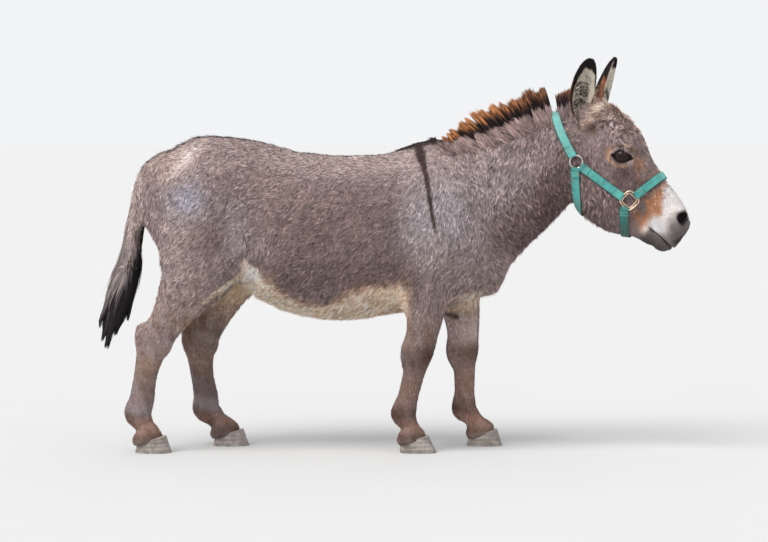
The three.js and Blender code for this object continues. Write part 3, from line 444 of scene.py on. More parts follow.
# ------------------------------------------------------------------ meshing
def surface_net(distance, low, high, cell):
    """Surface nets on an even grid; blocks of cells far from the surface are skipped."""
    block = 5
    low, high = np.array(low, float), np.array(high, float)
    count = np.ceil((high - low) / (cell * block)).astype(int)
    wide = cell * block
    centres = np.stack(
        np.meshgrid(*[low[i] + (np.arange(count[i]) + 0.5) * wide for i in range(3)], indexing="ij"), -1
    )
    rough = distance(centres.reshape(-1, 3)).reshape(count)
    value = np.repeat(np.repeat(np.repeat(np.where(rough < 0, -1.0, 1.0), block, 0), block, 1), block, 2)
    near = np.argwhere(np.abs(rough) < wide * 0.87 * 1.7 + 12)
    inner = np.stack(np.meshgrid(*[np.arange(block)] * 3, indexing="ij"), -1).reshape(-1, 3)
    index = (near[:, None, :] * block + inner[None]).reshape(-1, 3)
    value[tuple(index.T)] = distance(low + (index + 0.5) * cell)
    value[[0, -1]] = value[:, [0, -1]] = value[:, :, [0, -1]] = 1.0
    inside = value < 0
    n = np.array(value.shape)

    def corner(a, o):
        return a[o[0]:n[0] - 1 + o[0], o[1]:n[1] - 1 + o[1], o[2]:n[2] - 1 + o[2]]

    corners = [(i, j, k) for i in (0, 1) for j in (0, 1) for k in (0, 1)]
    count_in = sum(corner(inside, o).astype(np.int8) for o in corners)
    cells = np.argwhere((count_in > 0) & (count_in < 8))
    total, hits = np.zeros((len(cells), 3)), np.zeros(len(cells))
    for a in corners:
        for axis in range(3):
            if a[axis]:
                continue
            b = list(a)
            b[axis] = 1
            va, vb = value[tuple((cells + a).T)], value[tuple((cells + b).T)]
            m = (va < 0) != (vb < 0)
            t = va[m] / (va[m] - vb[m])
            spot = (cells[m] + a).astype(float)
            spot[:, axis] += t
            total[m] += spot
            hits[m] += 1
    vertices = low + (total / hits[:, None] + 0.5) * cell
    number = np.full(n - 1, -1, np.int64)
    number[tuple(cells.T)] = np.arange(len(cells))
    quads = []
    for axis in range(3):
        one = np.eye(3, dtype=int)[axis]
        u, v = np.eye(3, dtype=int)[(axis + 1) % 3], np.eye(3, dtype=int)[(axis + 2) % 3]
        first = inside[: n[0] - one[0], : n[1] - one[1], : n[2] - one[2]]
        second = inside[one[0]:, one[1]:, one[2]:]
        e = np.argwhere(first != second)
        e = e[(e[:, (axis + 1) % 3] > 0) & (e[:, (axis + 2) % 3] > 0)]
        e = e[
            (e[:, (axis + 1) % 3] < n[(axis + 1) % 3] - 1) & (e[:, (axis + 2) % 3] < n[(axis + 2) % 3] - 1)
        ]
        ring = np.stack([number[tuple((e + o).T)] for o in (-u - v, -v, 0 * u, -u)], 1)
        out = ~inside[tuple(e.T)]
        ring[out] = ring[out][:, ::-1]
        quads.append(ring)
    quads = np.concatenate(quads)
    p = vertices[quads]
    short = norm(p[:, 0] - p[:, 2]) < norm(p[:, 1] - p[:, 3])
    tris = np.where(
        short[:, None], quads[:, [0, 1, 2, 0, 2, 3]], quads[:, [1, 2, 3, 1, 3, 0]]
    ).reshape(-1, 3)
    return onto(distance, vertices), tris


def split_long(vertices, faces, longest, settle):
    """Splits edges longer than longest(middle) and settles the new corners on the surface."""
    pairs = np.sort(np.concatenate([faces[:, [0, 1]], faces[:, [1, 2]], faces[:, [2, 0]]]), 1)
    edges, where = np.unique(pairs, axis=0, return_inverse=True)
    where = where.reshape(3, -1).T
    a, b = vertices[edges[:, 0]], vertices[edges[:, 1]]
    middle = (a + b) / 2
    cut = norm(a - b) > longest(middle)
    # A face with two long edges gets all three cut, which keeps the pieces well shaped.
    two = cut[where].sum(1) == 2
    while two.any():
        cut[where[two].ravel()] = True
        two = cut[where].sum(1) == 2
    number = np.full(len(edges), -1)
    number[cut] = len(vertices) + np.arange(cut.sum())
    new = settle(middle[cut])
    vertices = np.concatenate([vertices, new])
    m = number[where]
    have = cut[where]
    kept = faces[have.sum(1) == 0]
    out = [kept]
    every = have.all(1)
    f, e = faces[every], m[every]
    out += [columns(f[:, 0], e[:, 0], e[:, 2]), columns(f[:, 1], e[:, 1], e[:, 0]),
            columns(f[:, 2], e[:, 2], e[:, 1]), e]
    for i in range(3):
        only = (have.sum(1) == 1) & have[:, i]
        f, e = faces[only], m[only][:, i]
        p, q, r = f[:, i], f[:, (i + 1) % 3], f[:, (i + 2) % 3]
        out += [columns(p, e, r), columns(e, q, r)]
    return vertices, np.concatenate(out)


def vertex_normals(vertices, faces):
    p = vertices[faces]
    n = np.cross(p[:, 1] - p[:, 0], p[:, 2] - p[:, 0])
    out = np.zeros_like(vertices)
    for i in range(3):
        for axis in range(3):
            out[:, axis] += np.bincount(faces[:, i], n[:, axis], len(vertices))
    return unit(out)


def relax(vertices, faces, where, settle):
    """Evens out the corners chosen by where, keeping them on the surface."""
    pairs = np.concatenate([faces[:, [0, 1]], faces[:, [1, 2]], faces[:, [2, 0]]])
    a, b = np.concatenate([pairs[:, 0], pairs[:, 1]]), np.concatenate([pairs[:, 1], pairs[:, 0]])
    for _ in range(2):
        share = np.bincount(a, minlength=len(vertices))
        mean = (
            np.stack([np.bincount(a, vertices[b, i], len(vertices)) for i in range(3)], 1) / share[:, None]
        )
        vertices = vertices.copy()
        vertices[where] = settle(mix(vertices[where], mean[where], 0.6))
    return vertices


def ring_faces(rings, n, closed=False):
    """Quads between rings of n corners; closed joins the last ring to the first."""
    i, j = np.meshgrid(np.arange(rings if closed else rings - 1), np.arange(n), indexing="ij")
    here, there = i * n, (i + 1) % rings * n
    after = (j + 1) % n
    return np.stack([here + j, here + after, there + after, there + j], -1).reshape(-1, 4)


# ------------------------------------------------------------------ Blender meshes
def linear(rgb):
    c = np.asarray(rgb, float) / 255
    return np.where(c <= 0.04045, c / 12.92, ((c + 0.055) / 1.055) ** 2.4)


def mesh_object(name, vertices, faces, material, slot, colours=None, uv=None, uv_name="OFBake"):
    """A mesh of triangles or quads, given in millimetres of the body's frame."""
    me = bpy.data.meshes.new(name)
    faces = np.asarray(faces)
    corners = faces.shape[1]
    me.vertices.add(len(vertices))
    me.vertices.foreach_set("co", ((np.asarray(vertices) + SHIFT) * MM).ravel())
    me.loops.add(faces.size)
    me.loops.foreach_set("vertex_index", faces.ravel().astype(np.int32))
    me.polygons.add(len(faces))
    me.polygons.foreach_set("loop_start", np.arange(0, faces.size, corners, dtype=np.int32))
    me.polygons.foreach_set("use_smooth", np.full(len(faces), True))
    me.update(calc_edges=True)
    if colours is not None:
        layer = me.color_attributes.new("Markings", "FLOAT_COLOR", "POINT")
        rgba = np.ones((len(vertices), 4), np.float32)
        rgba[:, :3] = colours
        layer.data.foreach_set("color", rgba.ravel())
    if uv is not None:
        layer = me.uv_layers.new(name=uv_name)
        layer.data.foreach_set("uv", np.asarray(uv, np.float32)[faces.ravel()].ravel())
    me.materials.append(material)
    obj = bpy.data.objects.new(name, me)
    scene.collection.objects.link(obj)
    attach(obj, "root")
    return obj


# ------------------------------------------------------------------ materials
def material(name):
    m = bpy.data.materials.new(name)
    m.use_nodes = True
    nodes = m.node_tree.nodes
    nodes.clear()
    out = nodes.new("ShaderNodeOutputMaterial")
    shader = nodes.new("ShaderNodeBsdfPrincipled")
    m.node_tree.links.new(shader.outputs[0], out.inputs[0])
    return m, shader


class Nodes:
    """Short calls that add nodes to one material and link them."""

    def __init__(self, name):
        self.material, self.shader = material(name)
        self.tree = self.material.node_tree

    def add(self, kind, inputs=(), **settings):
        node = self.tree.nodes.new("ShaderNode" + kind)
        for key, value in settings.items():
            setattr(node, key, value)
        self.feed(node, inputs)
        return node

    def feed(self, node, inputs):
        for key, value in dict(inputs).items():
            if isinstance(value, bpy.types.NodeSocket):
                self.tree.links.new(value, node.inputs[key])
            else:
                node.inputs[key].default_value = value

    def set(self, **values):
        self.feed(self.shader, {key.replace("_", " "): value for key, value in values.items()})

    def place(self, scale=(1, 1, 1)):
        spot = self.add("TexCoord").outputs["Object"]
        return self.add("Mapping", {"Vector": spot, "Scale": scale}).outputs[0]

    def noise(self, vector, scale, detail, rough):
        return self.add(
            "TexNoise", {"Vector": vector, "Scale": scale, "Detail": detail, "Roughness": rough}
        ).outputs["Fac"]

    def span(self, value, a, b, c, d):
        return self.add("MapRange", {"Value": value, 1: a, 2: b, 3: c, 4: d}).outputs[0]

    def blend(self, a, b, fac, mode="MIX"):
        return self.add("Mix", {0: fac, 6: a, 7: b}, data_type="RGBA", blend_type=mode).outputs[2]

    def shaded(self, colour, shade):
        """A colour times a grey."""
        return self.blend(
            colour, self.add("CombineColor", {0: shade, 1: shade, 2: shade}).outputs[0], 1.0, "MULTIPLY"
        )

    def maths(self, kind, a, b=0.0):
        return self.add("Math", {0: a, 1: b}, operation=kind).outputs[0]

    def relief(self, height, strength, distance):
        bump_node = self.add("Bump", {"Height": height, "Strength": strength, "Distance": distance})
        self.tree.links.new(bump_node.outputs[0], self.shader.inputs["Normal"])


def grey(v):
    return (v, v, v, 1)


def coloured(r, g, b):
    return (*map(float, linear((r, g, b))), 1)


def hairy_material(name, rough, streak, depth):
    n = Nodes(name)
    paint = n.add("Attribute", attribute_name="Markings").outputs["Color"]
    fine = n.noise(n.place(), streak, 4, 0.6)
    shade = n.span(fine, 0.25, 0.75, 0.82, 1.16)
    colour = n.shaded(paint, shade)
    n.set(Base_Color=colour, Roughness=n.span(fine, 0.3, 0.7, rough, rough + 0.1), Specular_IOR_Level=0.22)
    n.relief(fine, 0.35, depth)
    return n.material


coat_material = hairy_material("coat_hair", 0.74, 420, 0.0012)
skin_material = hairy_material("skin_under_coat", 0.76, 300, 0.0016)
mane_material = hairy_material("mane_hair", 0.6, 500, 0.0008)
tail_material = hairy_material("tail_hair", 0.58, 500, 0.0008)


# ------------------------------------------------------------------ markings and painted light
# Plain colours, 0 to 255.
DUN = vec(146, 129, 127)
DUN_DARK = vec(112, 94, 92)
DUN_BLUE = vec(168, 161, 168)
DUN_PALE = vec(188, 170, 165)
WARM = vec(168, 141, 128)
TAN = vec(184, 150, 122)
CREAM = vec(214, 192, 170)
WHITE = vec(232, 226, 224)
ORANGE = vec(184, 126, 90)
DARK = vec(48, 39, 40)
LIP = vec(98, 90, 88)
BROWN = vec(98, 74, 62)
wide_waves, mid_waves, small_waves = Waves(260, 1), Waves(90, 2), Waves(30, 3)
warp = [Waves(46, 40 + i) for i in range(3)]


def paint(p, normal):
    """The coat's colour and painted light, 0 to 255, at points of the skin: the same for skin and tufts."""
    r = regions(p)
    h = r["h"]
    s, y, t = h[:, 0], np.abs(h[:, 1]), h[:, 2]
    side_y = np.abs(p[:, 1])
    x, z = p[:, 0], p[:, 2]
    face, neck, leg, shank = r["face"], r["neck"], r["leg"], r["shank"]
    trunk = (1 - face) * (1 - neck) * (1 - leg)
    small, mid = small_waves(p), mid_waves(p)
    wobble = 7 * mid + 5 * small
    c = many(DUN, len(p))

    def lay(colour, share):
        nonlocal c
        c = mix(c, colour, np.clip(share, 0, 1))

    def spot(x0, z0, wide, tall):
        return bump(x, x0, wide) * bump(z, z0, tall)

    lay(DUN_DARK, 0.1 + 0.16 * mid + 0.12 * small)
    lay(WARM, 0.18 * ramp(wide_waves(p), -0.4, 1) * (1 - face))
    # trunk: painted light on the back and painted shade low on the barrel; blue-grey on shoulder and haunch
    # painted light: lighter on top of the trunk, where light falls from above
    lay(DUN_PALE, 0.4 * ramp(z, 760, 900) * trunk)
    lay(DUN_BLUE, 0.7 * (spot(175, 720, 110, 120) + 0.5 * spot(60, 640, 60, 150)) * (1 - face))
    # painted reflection: a lighter, bluer patch on the haunch
    lay(DUN_BLUE + vec(4, 8, 14), 0.95 * spot(-606, 750, 64, 56))
    lay(DUN_BLUE, 0.4 * spot(-470, 660, 40, 90))
    # pale and warm bands over the croup: partly the coat's own colour, partly painted light on the hip
    lay(DUN_PALE + 44, 0.9 * bump(z - (0.85 * (x + 622) + 866), 0, 24) * bump(x, -622, 46))
    lay(DUN_PALE + 16, 0.5 * bump(z - (0.3 * (x + 600) + 906), 0, 16) * bump(x, -590, 60))
    lay(WARM + 34, 0.45 * bump(x, -668, 40) * bump(z, 845, 50))
    lay(DUN_DARK, 0.3 * spot(-500, 780, 60, 50))
    lay(DUN_DARK - 4, 0.5 * spot(-530, 640, 50, 50))
    lay(DUN_DARK - 4, 0.95 * spot(-584, 634, 50, 46))
    # painted shade: darker low on the barrel, away from the light above; painted light again over its top
    lay(DUN_DARK, 0.66 * bump(z, 540, 80) * ramp(x, -420, -300) * (1 - ramp(x, 20, 110)))
    lay(DUN_DARK, 0.5 * bump(z, 690, 110) * ramp(x, -420, -300) * (1 - ramp(x, -40, 60)))
    lay(DUN_PALE, 0.3 * ramp(z, 790, 850) * ramp(x, -420, -300) * (1 - ramp(x, 60, 130)))
    lay(DUN_PALE - 2, 0.65 * spot(-640, 560, 60, 110))
    lay(DUN_PALE - 8, 0.4 * spot(-600, 660, 70, 80))
    lay(DUN_DARK, 0.4 * spot(84, 482, 60, 46))
    lay(DUN_PALE, 0.35 * spot(112, 585, 56, 56))
    lay(DUN_DARK, 0.3 * spot(236, 735, 40, 60) * (1 - face))
    lay(WARM + 6, 0.35 * bump(x, 40, 30) * bump(z, 520, 40) * (side_y > 80))
    # a dark line along the back, broad over the croup, and the stripe down the shoulder
    half = 7 + 7 * ramp(-x, 380, 520) + 22 * ramp(x, 10, 60)
    dorsal = (1 - ramp(side_y + wobble * 0.35, half, half + 9)) * ramp(z, 780, 850) * (x < 215) * (1 - face)
    lay(DARK + 26, 0.92 * dorsal)
    for way in (RIGHT, LEFT):
        line = 79 + (908 - z) * 0.195 + 2.5 * np.sin(z / 40)
        width = 9.5 - 6.0 * ramp(908 - z, 0, 150) + 1.2 * small
        stripe = (1 - ramp(np.abs(x - line) + wobble * 0.22, width * 0.7, width * 1.7)) * ramp(z, 636, 690)
        lay(vec(56, 42, 39), 0.9 * stripe * (p[:, 1] * way > -8) * (z < 930))
    # the pale belly, its edge orange-brown, the flank fold, and the inside of the legs
    edge = (
        np.interp(
            x, [-460, -430, -379, -320, -261, -202, -142, -83, -24, 20, 60],
            [560, 562, 520, 474, 438, 436, 470, 486, 492, 500, 482]
        )
        + wobble * 0.7
    )
    belly = (1 - ramp(z, edge - 18, edge + 16)) * ramp(x, -462, -440) * (1 - ramp(x, 30, 64))
    belly = belly * (1 - ramp(z, 330, 300)) * (1 - shank)
    lay(TAN - 6, 0.4 * bump(z, edge + 4, 18) * ramp(x, -440, -400) * (1 - ramp(x, 30, 64)))
    lay(vec(250, 215, 187), 0.97 * belly)
    lay(WHITE + 8, 0.85 * spot(-416, 540, 34, 30) * (side_y > 50) * (z < edge + 10))
    # a pale line down the front edge of the thigh
    line = np.abs((x + 438) * 0.594 - (z - 545) * 0.805 - 3)
    lay(
        CREAM + 2, 0.9 * (1 - ramp(line + wobble * 0.25, 4, 11)) * ramp(z, 400, 440)
        * (1 - ramp(z, 556, 580)) * (side_y > 70) * (x < -440) * (x > -620)
    )
    inner_way = -np.sign(p[:, 1]) * normal[:, 1]
    inside = ramp(inner_way, 0.2, 0.75) * ramp(-z, -640, -560) * (1 - face)
    # the inside of the legs: pale hair, lightened further as painted light against the shade between the
    # legs
    lay(
        vec(240, 208, 172),
        0.85 * inside * ramp(z, np.where(x > -200, 368, 380), np.where(x > -200, 410, 430))
    )
    lay(DUN_PALE - 10, 0.6 * inside * ramp(z, 290, 350) * ramp(-z, -450, -390))
    lay(vec(236, 214, 208), 0.85 * inside * (x > -200) * ramp(z, 300, 332) * (1 - ramp(z, 385, 405)))
    # painted shadow: darker towards the rear of the inside of the hind legs, where the gaskins are in shade
    lay(BROWN - 22, 0.85 * inside * (x < -420) * bump(z, 400, 42) * ramp(-normal[:, 0], -0.25, 0.5))
    lay(BROWN - 34, 0.9 * inside * (x < -420) * bump(z, 362, 46) * ramp(-normal[:, 0], -0.2, 0.5))
    chest = bump(x, 236, 62) * ramp(-normal[:, 2], -0.25, 0.35) * bump(z, 452, 26)
    lay(CREAM + 16, 0.95 * chest * (1 - face))
    lay(WHITE, 0.3 * bump(x, -690, 40) * ramp(-normal[:, 0], -0.1, 0.6) * bump(z, 610, 90) * (side_y < 80))
    # legs: mauve brown, darker joints, reddish tan below the fetlocks
    fore = x > -200
    lay(DUN_PALE - 22, 0.6 * leg * (~fore) * ramp(z, 320, 440))
    lay(DUN_PALE - 20, 0.5 * (side_y > 60) * (x < -560) * bump(z, 400, 60) * (1 - inside))
    lay(WARM - 12, 0.36 * leg * (1 - shank * 0.3))
    lay(vec(134, 112, 108), 0.45 * shank)
    lay(BROWN - 8, 0.3 * leg * ramp(small + mid, -0.1, 1.2))
    lay(DUN_BLUE - 6, 0.3 * leg * ramp(-small + mid, 0.2, 1.3))
    knee_z = np.where(fore, 300, 330)
    front = np.where(fore, normal[:, 0], -normal[:, 0])
    lay(BROWN - 6, np.where(fore, 0.75, 0.3) * bump(z, knee_z - 8, 36) * leg * ramp(front, -0.5, 0.5))
    lay(TAN - 12, 0.5 * bump(z, 392, 26) * leg * (~fore) * ramp(normal[:, 0], -0.2, 0.7))
    lay(TAN - 14, 0.4 * bump(z, 255, 40) * leg * (~fore))
    lay(ORANGE + 4, 0.22 * bump(z, 190, 55) * leg * fore)
    lay(
        DUN_BLUE - 30,
        0.55 * shank * (~fore) * bump(z, 200, 60) * ramp(-normal[:, 0] * (side_y > 60), 0.2, 0.8)
    )
    lay(BROWN - 26, 0.7 * bump(z, 112, 20) * leg * ramp(-normal[:, 0], -0.2, 0.6))
    lay(vec(170, 128, 108), 0.6 * bump(z, 82, 28) * leg)
    lay(BROWN, 0.5 * bump(z, 48, 12) * leg)
    lay(BROWN - 20, np.where(fore, 0.3, 0.12) * bump(z, np.where(fore, 118, 122), 18) * leg)
    lay(DUN_PALE - 4, 0.5 * leg * (~fore) * bump(z, 318, 34) * (1 - inside))
    c = (
        c
        * (
            1 - leg * (1 - ramp(z, 340, 430))
            * np.where(fore, 0.17 * (1 - inside), 0.04 + 0.06 * (z < 250) + 0.1 * inside)
        )[:, None]
    )
    # painted light: the inside of the forearms lighter, against the shade under the belly
    lay(vec(196, 174, 170), 0.85 * inside * fore * bump(z, 346, 40) * leg)
    lay(DUN_BLUE - 14, 0.5 * leg * (~fore) * bump(z, 128, 22))
    lay(WARM - 8, 0.3 * leg * fore * bump(z, 350, 50) * (1 - inside))
    for cx, cz, way in ((180, 398, LEFT), (84, 392, RIGHT)):
        nut = (
            1
            - ramp(
                np.sqrt(((x - cx) / 20) ** 2 + ((z - cz + 0.25 * (x - cx)) / 8.5) ** 2) + 0.12 * small,
                0.85, 1.15
            )
        )
        lay(DARK, 0.95 * nut * (inner_way > 0.2) * (p[:, 1] * way > 0) * leg)
    # neck: greyer beside the mane, darker towards the throat as painted shade under the neck
    below = below_neck(x, z)
    lay(DUN_PALE - 10, 0.5 * neck * ramp(-below, 40, 120))
    lay(DUN_BLUE, 0.2 * neck * bump(x, 330, 110) * bump(z, 800, 110))
    lay(DUN_DARK - 8, 0.75 * neck * ramp(below, 10, 130))
    lay(DUN_DARK - 16, 0.6 * neck * ramp(x, 380, 470) * ramp(below, -20, 80))
    lay(DUN_PALE, 0.35 * bump(x, 330, 40) * bump(z, 560, 60) * (1 - face) * ramp(normal[:, 0], 0.2, 0.8))
    # tail: grey tan outside, black inside and on its front
    lay(DUN_PALE - 2, 0.8 * r["tail"])
    lay(
        DARK + 30, 0.9 * r["tail"] * ramp(normal[:, 0] + 0.25 * small, 0.1, 0.6) * ramp(-z, -850, -790)
        * (1 - 0.55 * ramp(-z, -700, -610))
    )
    # face
    lay(DUN_DARK, 0.2 * face * ramp(s, 140, 250))
    lay(DUN_DARK - 4, 0.4 * face * ramp(-t, -10, 60))
    lay(DUN_PALE - 2, 0.5 * face * bump(s, 98, 44) * ramp(t, 14, 56) * (0.75 + 0.5 * small))
    lay(WARM, 0.4 * face * ramp(-s, -120, -20) * ramp(t, -20, 40))
    lay(vec(236, 208, 186), 0.9 * face * bump(s, 44, 20) * bump(t, 50, 26) * (p[:, 1] < POLL[1] + 40))
    lay(BROWN - 6, 0.8 * face * bump(s, 88, 17) * bump(t, 8, 26) * ramp(small, -1.1, 0.3) * (y > 20))
    lay(vec(206, 178, 156), 0.75 * face * bump(s, 64, 12) * bump(t, -6, 34) * (y > 20))
    lay(vec(190, 152, 130), 0.5 * face * bump(s, 84, 62) * ramp(t, 52, 88))
    lay(DUN_PALE, 0.25 * face * bump(s, 110, 30) * ramp(t, 30, 70))
    lay(WARM + 8, 0.5 * face * ramp(t, 82, 100) * bump(s, 150, 70))
    _, eu, ev = lid_share(s, t)
    on_side = face * (y > 30)
    lay(DUN_PALE + 8, 0.7 * on_side * bump(ev + 0.2 * eu, 37, 8) * bump(eu, -6, 26) * (0.8 + 0.4 * small))
    lay(DUN_DARK, 0.35 * on_side * bump(s, 150, 24) * bump(t, 0, 30))
    from_eye = np.sqrt(((eu - 1) / 36) ** 2 + ((ev + 1) / 25) ** 2)
    lay(DUN_DARK - 22, 0.8 * on_side * bump(s, 258, 36) * bump(t, 4, 34))
    lay(DUN_DARK - 14, 0.6 * on_side * bump(s, 300, 34) * bump(t, 22, 30))
    lay(
        vec(196, 154, 122),
        0.85 * on_side * bump(from_eye, 1.12, 0.2) * ramp(-ev - 0.7 * eu + 3 * small, -4, 14)
    )
    lay(
        vec(150, 118, 96),
        0.7 * on_side * bump(from_eye, 1.28, 0.18) * ramp(ev - 0.3 * eu + 3 * small, 2, 14)
    )
    lay(BROWN + 12, 0.85 * on_side * bump(eu, 30, 15) * bump(ev, 19, 10) * ramp(small, -1.2, 0.4))
    lay(vec(196, 186, 190), 0.85 * on_side * bump(eu, 30, 12) * bump(ev, -15, 7))
    lay(ORANGE - 6, 0.6 * on_side * bump(s, 246, 20) * bump(t, 62, 13) * ramp(small, -0.9, 0.9))
    lay(ORANGE - 16, 0.6 * on_side * bump(s, 274, 32) * bump(t, 42, 14) * ramp(small, -0.9, 0.9))
    # painted shade: a grey band in the fold over the upper lid
    lay(DUN_BLUE - 22, 0.85 * on_side * bump(ev, 23 - 0.012 * eu * eu, 3.2) * bump(eu, 0, 22))
    half_eye = np.where(ev > -2, 21.0, 17.5) * np.maximum(1 - np.abs((eu - 2.5) / 35.5) ** 1.55, 0.01)
    dark_eye = 1 - ramp(np.abs(ev + 2) / half_eye + 0.05 * small, 0.92, 1.14 + 0.1 * (np.abs(eu) > 24))
    lay(DARK - 22, 0.98 * on_side * dark_eye * (np.abs(eu - 2.5) < 36))
    lay(DUN_DARK, 0.4 * on_side * bump(s, 290, 40) * bump(t, 0, 28))
    # an orange band behind the white muzzle, its edge tufted
    edge_s = np.interp(t, [-60, -38, -15, 5, 33, 48, 70, 102], [424, 418, 408, 407, 403, 388, 364, 340])
    ahead = s - edge_s + 1.3 * wobble
    lay(BROWN + 34, 0.55 * face * ramp(ahead, -84, -40) * (1 - ramp(ahead, -10, 10)) * ramp(t, -60, -36))
    lay(
        vec(176, 121, 88), 0.85 * face * ramp(ahead + 7 * small, -62, -20) * (1 - ramp(ahead, -14, 8))
        * ramp(t, -56, -34) * ramp(s, 334, 356)
    )
    lay(vec(214, 180, 156), 0.5 * face * bump(ahead, -3, 9) * ramp(t, -56, -34))
    lay(WHITE - 20, 0.95 * face * ramp(ahead, -8, 15) * ramp(t, -56, -30))
    lay(vec(188, 186, 192), 0.6 * face * ramp(ahead, 4, 30) * (1 - ramp(t, -8, 34)))
    # dark nostrils, lips and chin
    nose = np.sqrt(((s - 466) / 42) ** 2 + ((t - 66) / 46) ** 2)
    lay(LIP + 34, 0.78 * face * (1 - ramp(nose + 0.06 * small, 0.5, 1.1)) * (y > 4))
    lay(
        LIP + 4, 0.65 * face * (1 - ramp(np.hypot((s - 476) / 26, (t - 50) / 40) + 0.08 * small, 0.5, 1.15))
    )
    lay(vec(176, 160, 146), 0.55 * face * bump(nose, 0.86, 0.12) * (y > 14) * ramp(76 - t, -6, 20))
    pit, _, _ = nostril_share(s, t)
    lay(LIP - 20, 0.8 * face * (1 - ramp(pit, 1.0, 1.5)) * (y > 8))
    lay(DARK - 22, 0.98 * face * (1 - ramp(pit, 0.82, 1.08)) * (y > 8))
    lay(LIP + 4, 0.92 * face * ramp(s - 0.1 * np.abs(t - 34) + 0.5 * wobble, 456, 488))
    lay(DARK + 4, 0.85 * face * ramp(s - 0.05 * np.abs(t - 34), 492, 503) * ramp(t, 2, 16))
    lay(LIP + 26, 0.6 * face * bump(t - mouth_line(s), 9, 10) * ramp(s, 442, 468))
    low_lip = ramp(mouth_line(s) - t + wobble * 0.15, -1, 6) * ramp(s + wobble * 0.5, 420, 446)
    lay(LIP - 20, 0.95 * face * low_lip)
    lay(LIP + 14, 0.5 * face * low_lip * bump(mouth_line(s) - t, 12, 8))
    lay(DARK + 14, 0.55 * face * ramp(-t, 36, 56) * ramp(s, 440, 470))
    lay(vec(206, 190, 176), 0.75 * face * bump(s, 420, 11) * bump(t, -34, 15))
    lay(DARK - 6, 0.8 * face * bump(s, 432, 9) * bump(t, -19, 5))
    lay(DARK - 6, 0.75 * face * (1 - ramp(np.abs(t - mouth_line(s)), 0.8, 4.0)) * ramp(s, 430, 442))
    return np.clip(c, 4, 250)


# ------------------------------------------------------------------ details of the head
NOSTRIL = {"at": (457, 77), "long": 21, "short": 14, "turn": 125, "deep": 25}


def lid_share(s, t):
    """Below 1 inside the opening between the lids, in the head's side view."""
    turn = math.radians(LID["turn"])
    ds, dt = s - EYE["s"], t - EYE["t"]
    u = ds * math.cos(turn) + dt * math.sin(turn)
    v = -ds * math.sin(turn) + dt * math.cos(turn)
    share = np.abs((u - 1.5) / LID["long"])
    tall = np.where(v > 0, LID["up"], LID["down"]) * np.maximum(1 - share ** 1.8, 0.02) ** 0.9
    return np.maximum(np.minimum(np.abs(v) / tall, 9.0), share ** 2), u, v


def nostril_share(s, t):
    """Below 1 inside the nostril: broad at its upper end, with a tail below."""
    turn = math.radians(NOSTRIL["turn"])
    ds, dt = s - NOSTRIL["at"][0], t - NOSTRIL["at"][1]
    a = ds * math.sin(turn) + dt * math.cos(turn)
    b = ds * math.cos(turn) - dt * math.sin(turn)
    wide = NOSTRIL["short"] * (1 - 0.35 * np.clip(a / NOSTRIL["long"], -1, 1))
    return np.sqrt((a / NOSTRIL["long"]) ** 2 + ((b + 0.008 * a * a) / wide) ** 2), a, b


def mouth_line(s):
    """Height t of the slit between the lips at s."""
    past_corner = s - 432
    return -19 + past_corner * 0.24 + 4 * np.sin(past_corner / 80 * np.pi)


def detail_head(p):
    """Lids, nostrils and lips, by moving the corners of the skin."""
    h = to_head(p)
    out = h.copy()
    for way in (RIGHT, LEFT):
        q = out.copy()
        q[:, 1] *= way
        s, y, t = q.T
        centre = EYE_MIDDLE
        v = q - centre
        r = norm(v)
        opening, u, w = lid_share(s, t)
        m = (r < 46) & (y > EYE["y"] - 4)
        rim = (1.0 + 0.9 * (w > 0)) * bump(opening, 1.12, 0.12)
        fold = (
            2.2 * bump(w, 24 - 0.016 * u * u, 1.9) * (np.abs(u) < 32)
            + 1.3 * bump(w, 30 - 0.012 * u * u, 2.2)
        )
        under_fold = (
            1.3 * bump(w, -21 + 0.014 * u * u, 2.0) * (np.abs(u) < 30)
            + 0.8 * bump(w, -27 + 0.014 * u * u, 2.0)
        )
        duct = 3.0 * bump(u, 31, 5) * bump(w, -3, 3.0)
        new_r = np.where(opening > 1, r + rim - fold - under_fold - duct, EYE["r"] - EYE_SOCKET)
        q[m] = centre + unit(v[m]) * new_r[m][:, None]
        # nostril: a raised rim round a deep, comma-shaped pit
        ring, a, _ = nostril_share(q[:, 0], q[:, 2])
        on = (q[:, 1] > 10) & (ring < 3)
        pit = NOSTRIL["deep"] * (1 - ramp(ring, 0.4, 1.0)) - 2.6 * bump(ring, 1.2, 0.24) * ramp(a, -14, 6)
        into = unit(vec(-0.3, -0.9, -0.25))
        q[on] += into * pit[on][:, None]
        q[:, 1] *= way
        out = np.where(((h[:, 1] * way) > 0)[:, None], q, out)
    # the lips: a slit between two soft rolls
    s, y, t = out.T
    gap = t - mouth_line(s)
    slit = bump(gap, 0, 2.0) * ramp(s, 428, 440)
    rolls = (bump(gap, 9, 6) + 0.8 * bump(gap, -8, 6)) * ramp(s, 436, 452)
    toward = unit(columns(np.clip(s - 452, -4, 40), y, 0 * s))
    mouth_on = (s > 424) & (np.abs(gap) < 26)
    move = (2.0 * rolls - 5.5 * slit)[:, None] * toward
    out = np.where(mouth_on[:, None], out + move, out)
    # wrinkles at the corner of the mouth and over the nostril
    crease = bump(s, 424, 9) * np.sin(gap / 2.6) * bump(gap, -2, 14) * 0.9
    crease += 0.7 * np.sin((s - 0.6 * t) / 3.2) * bump(s, 430, 20) * bump(t, 60, 22) * (np.abs(y) > 16)
    out[:, 1] += np.sign(y) * crease
    return from_head(out)


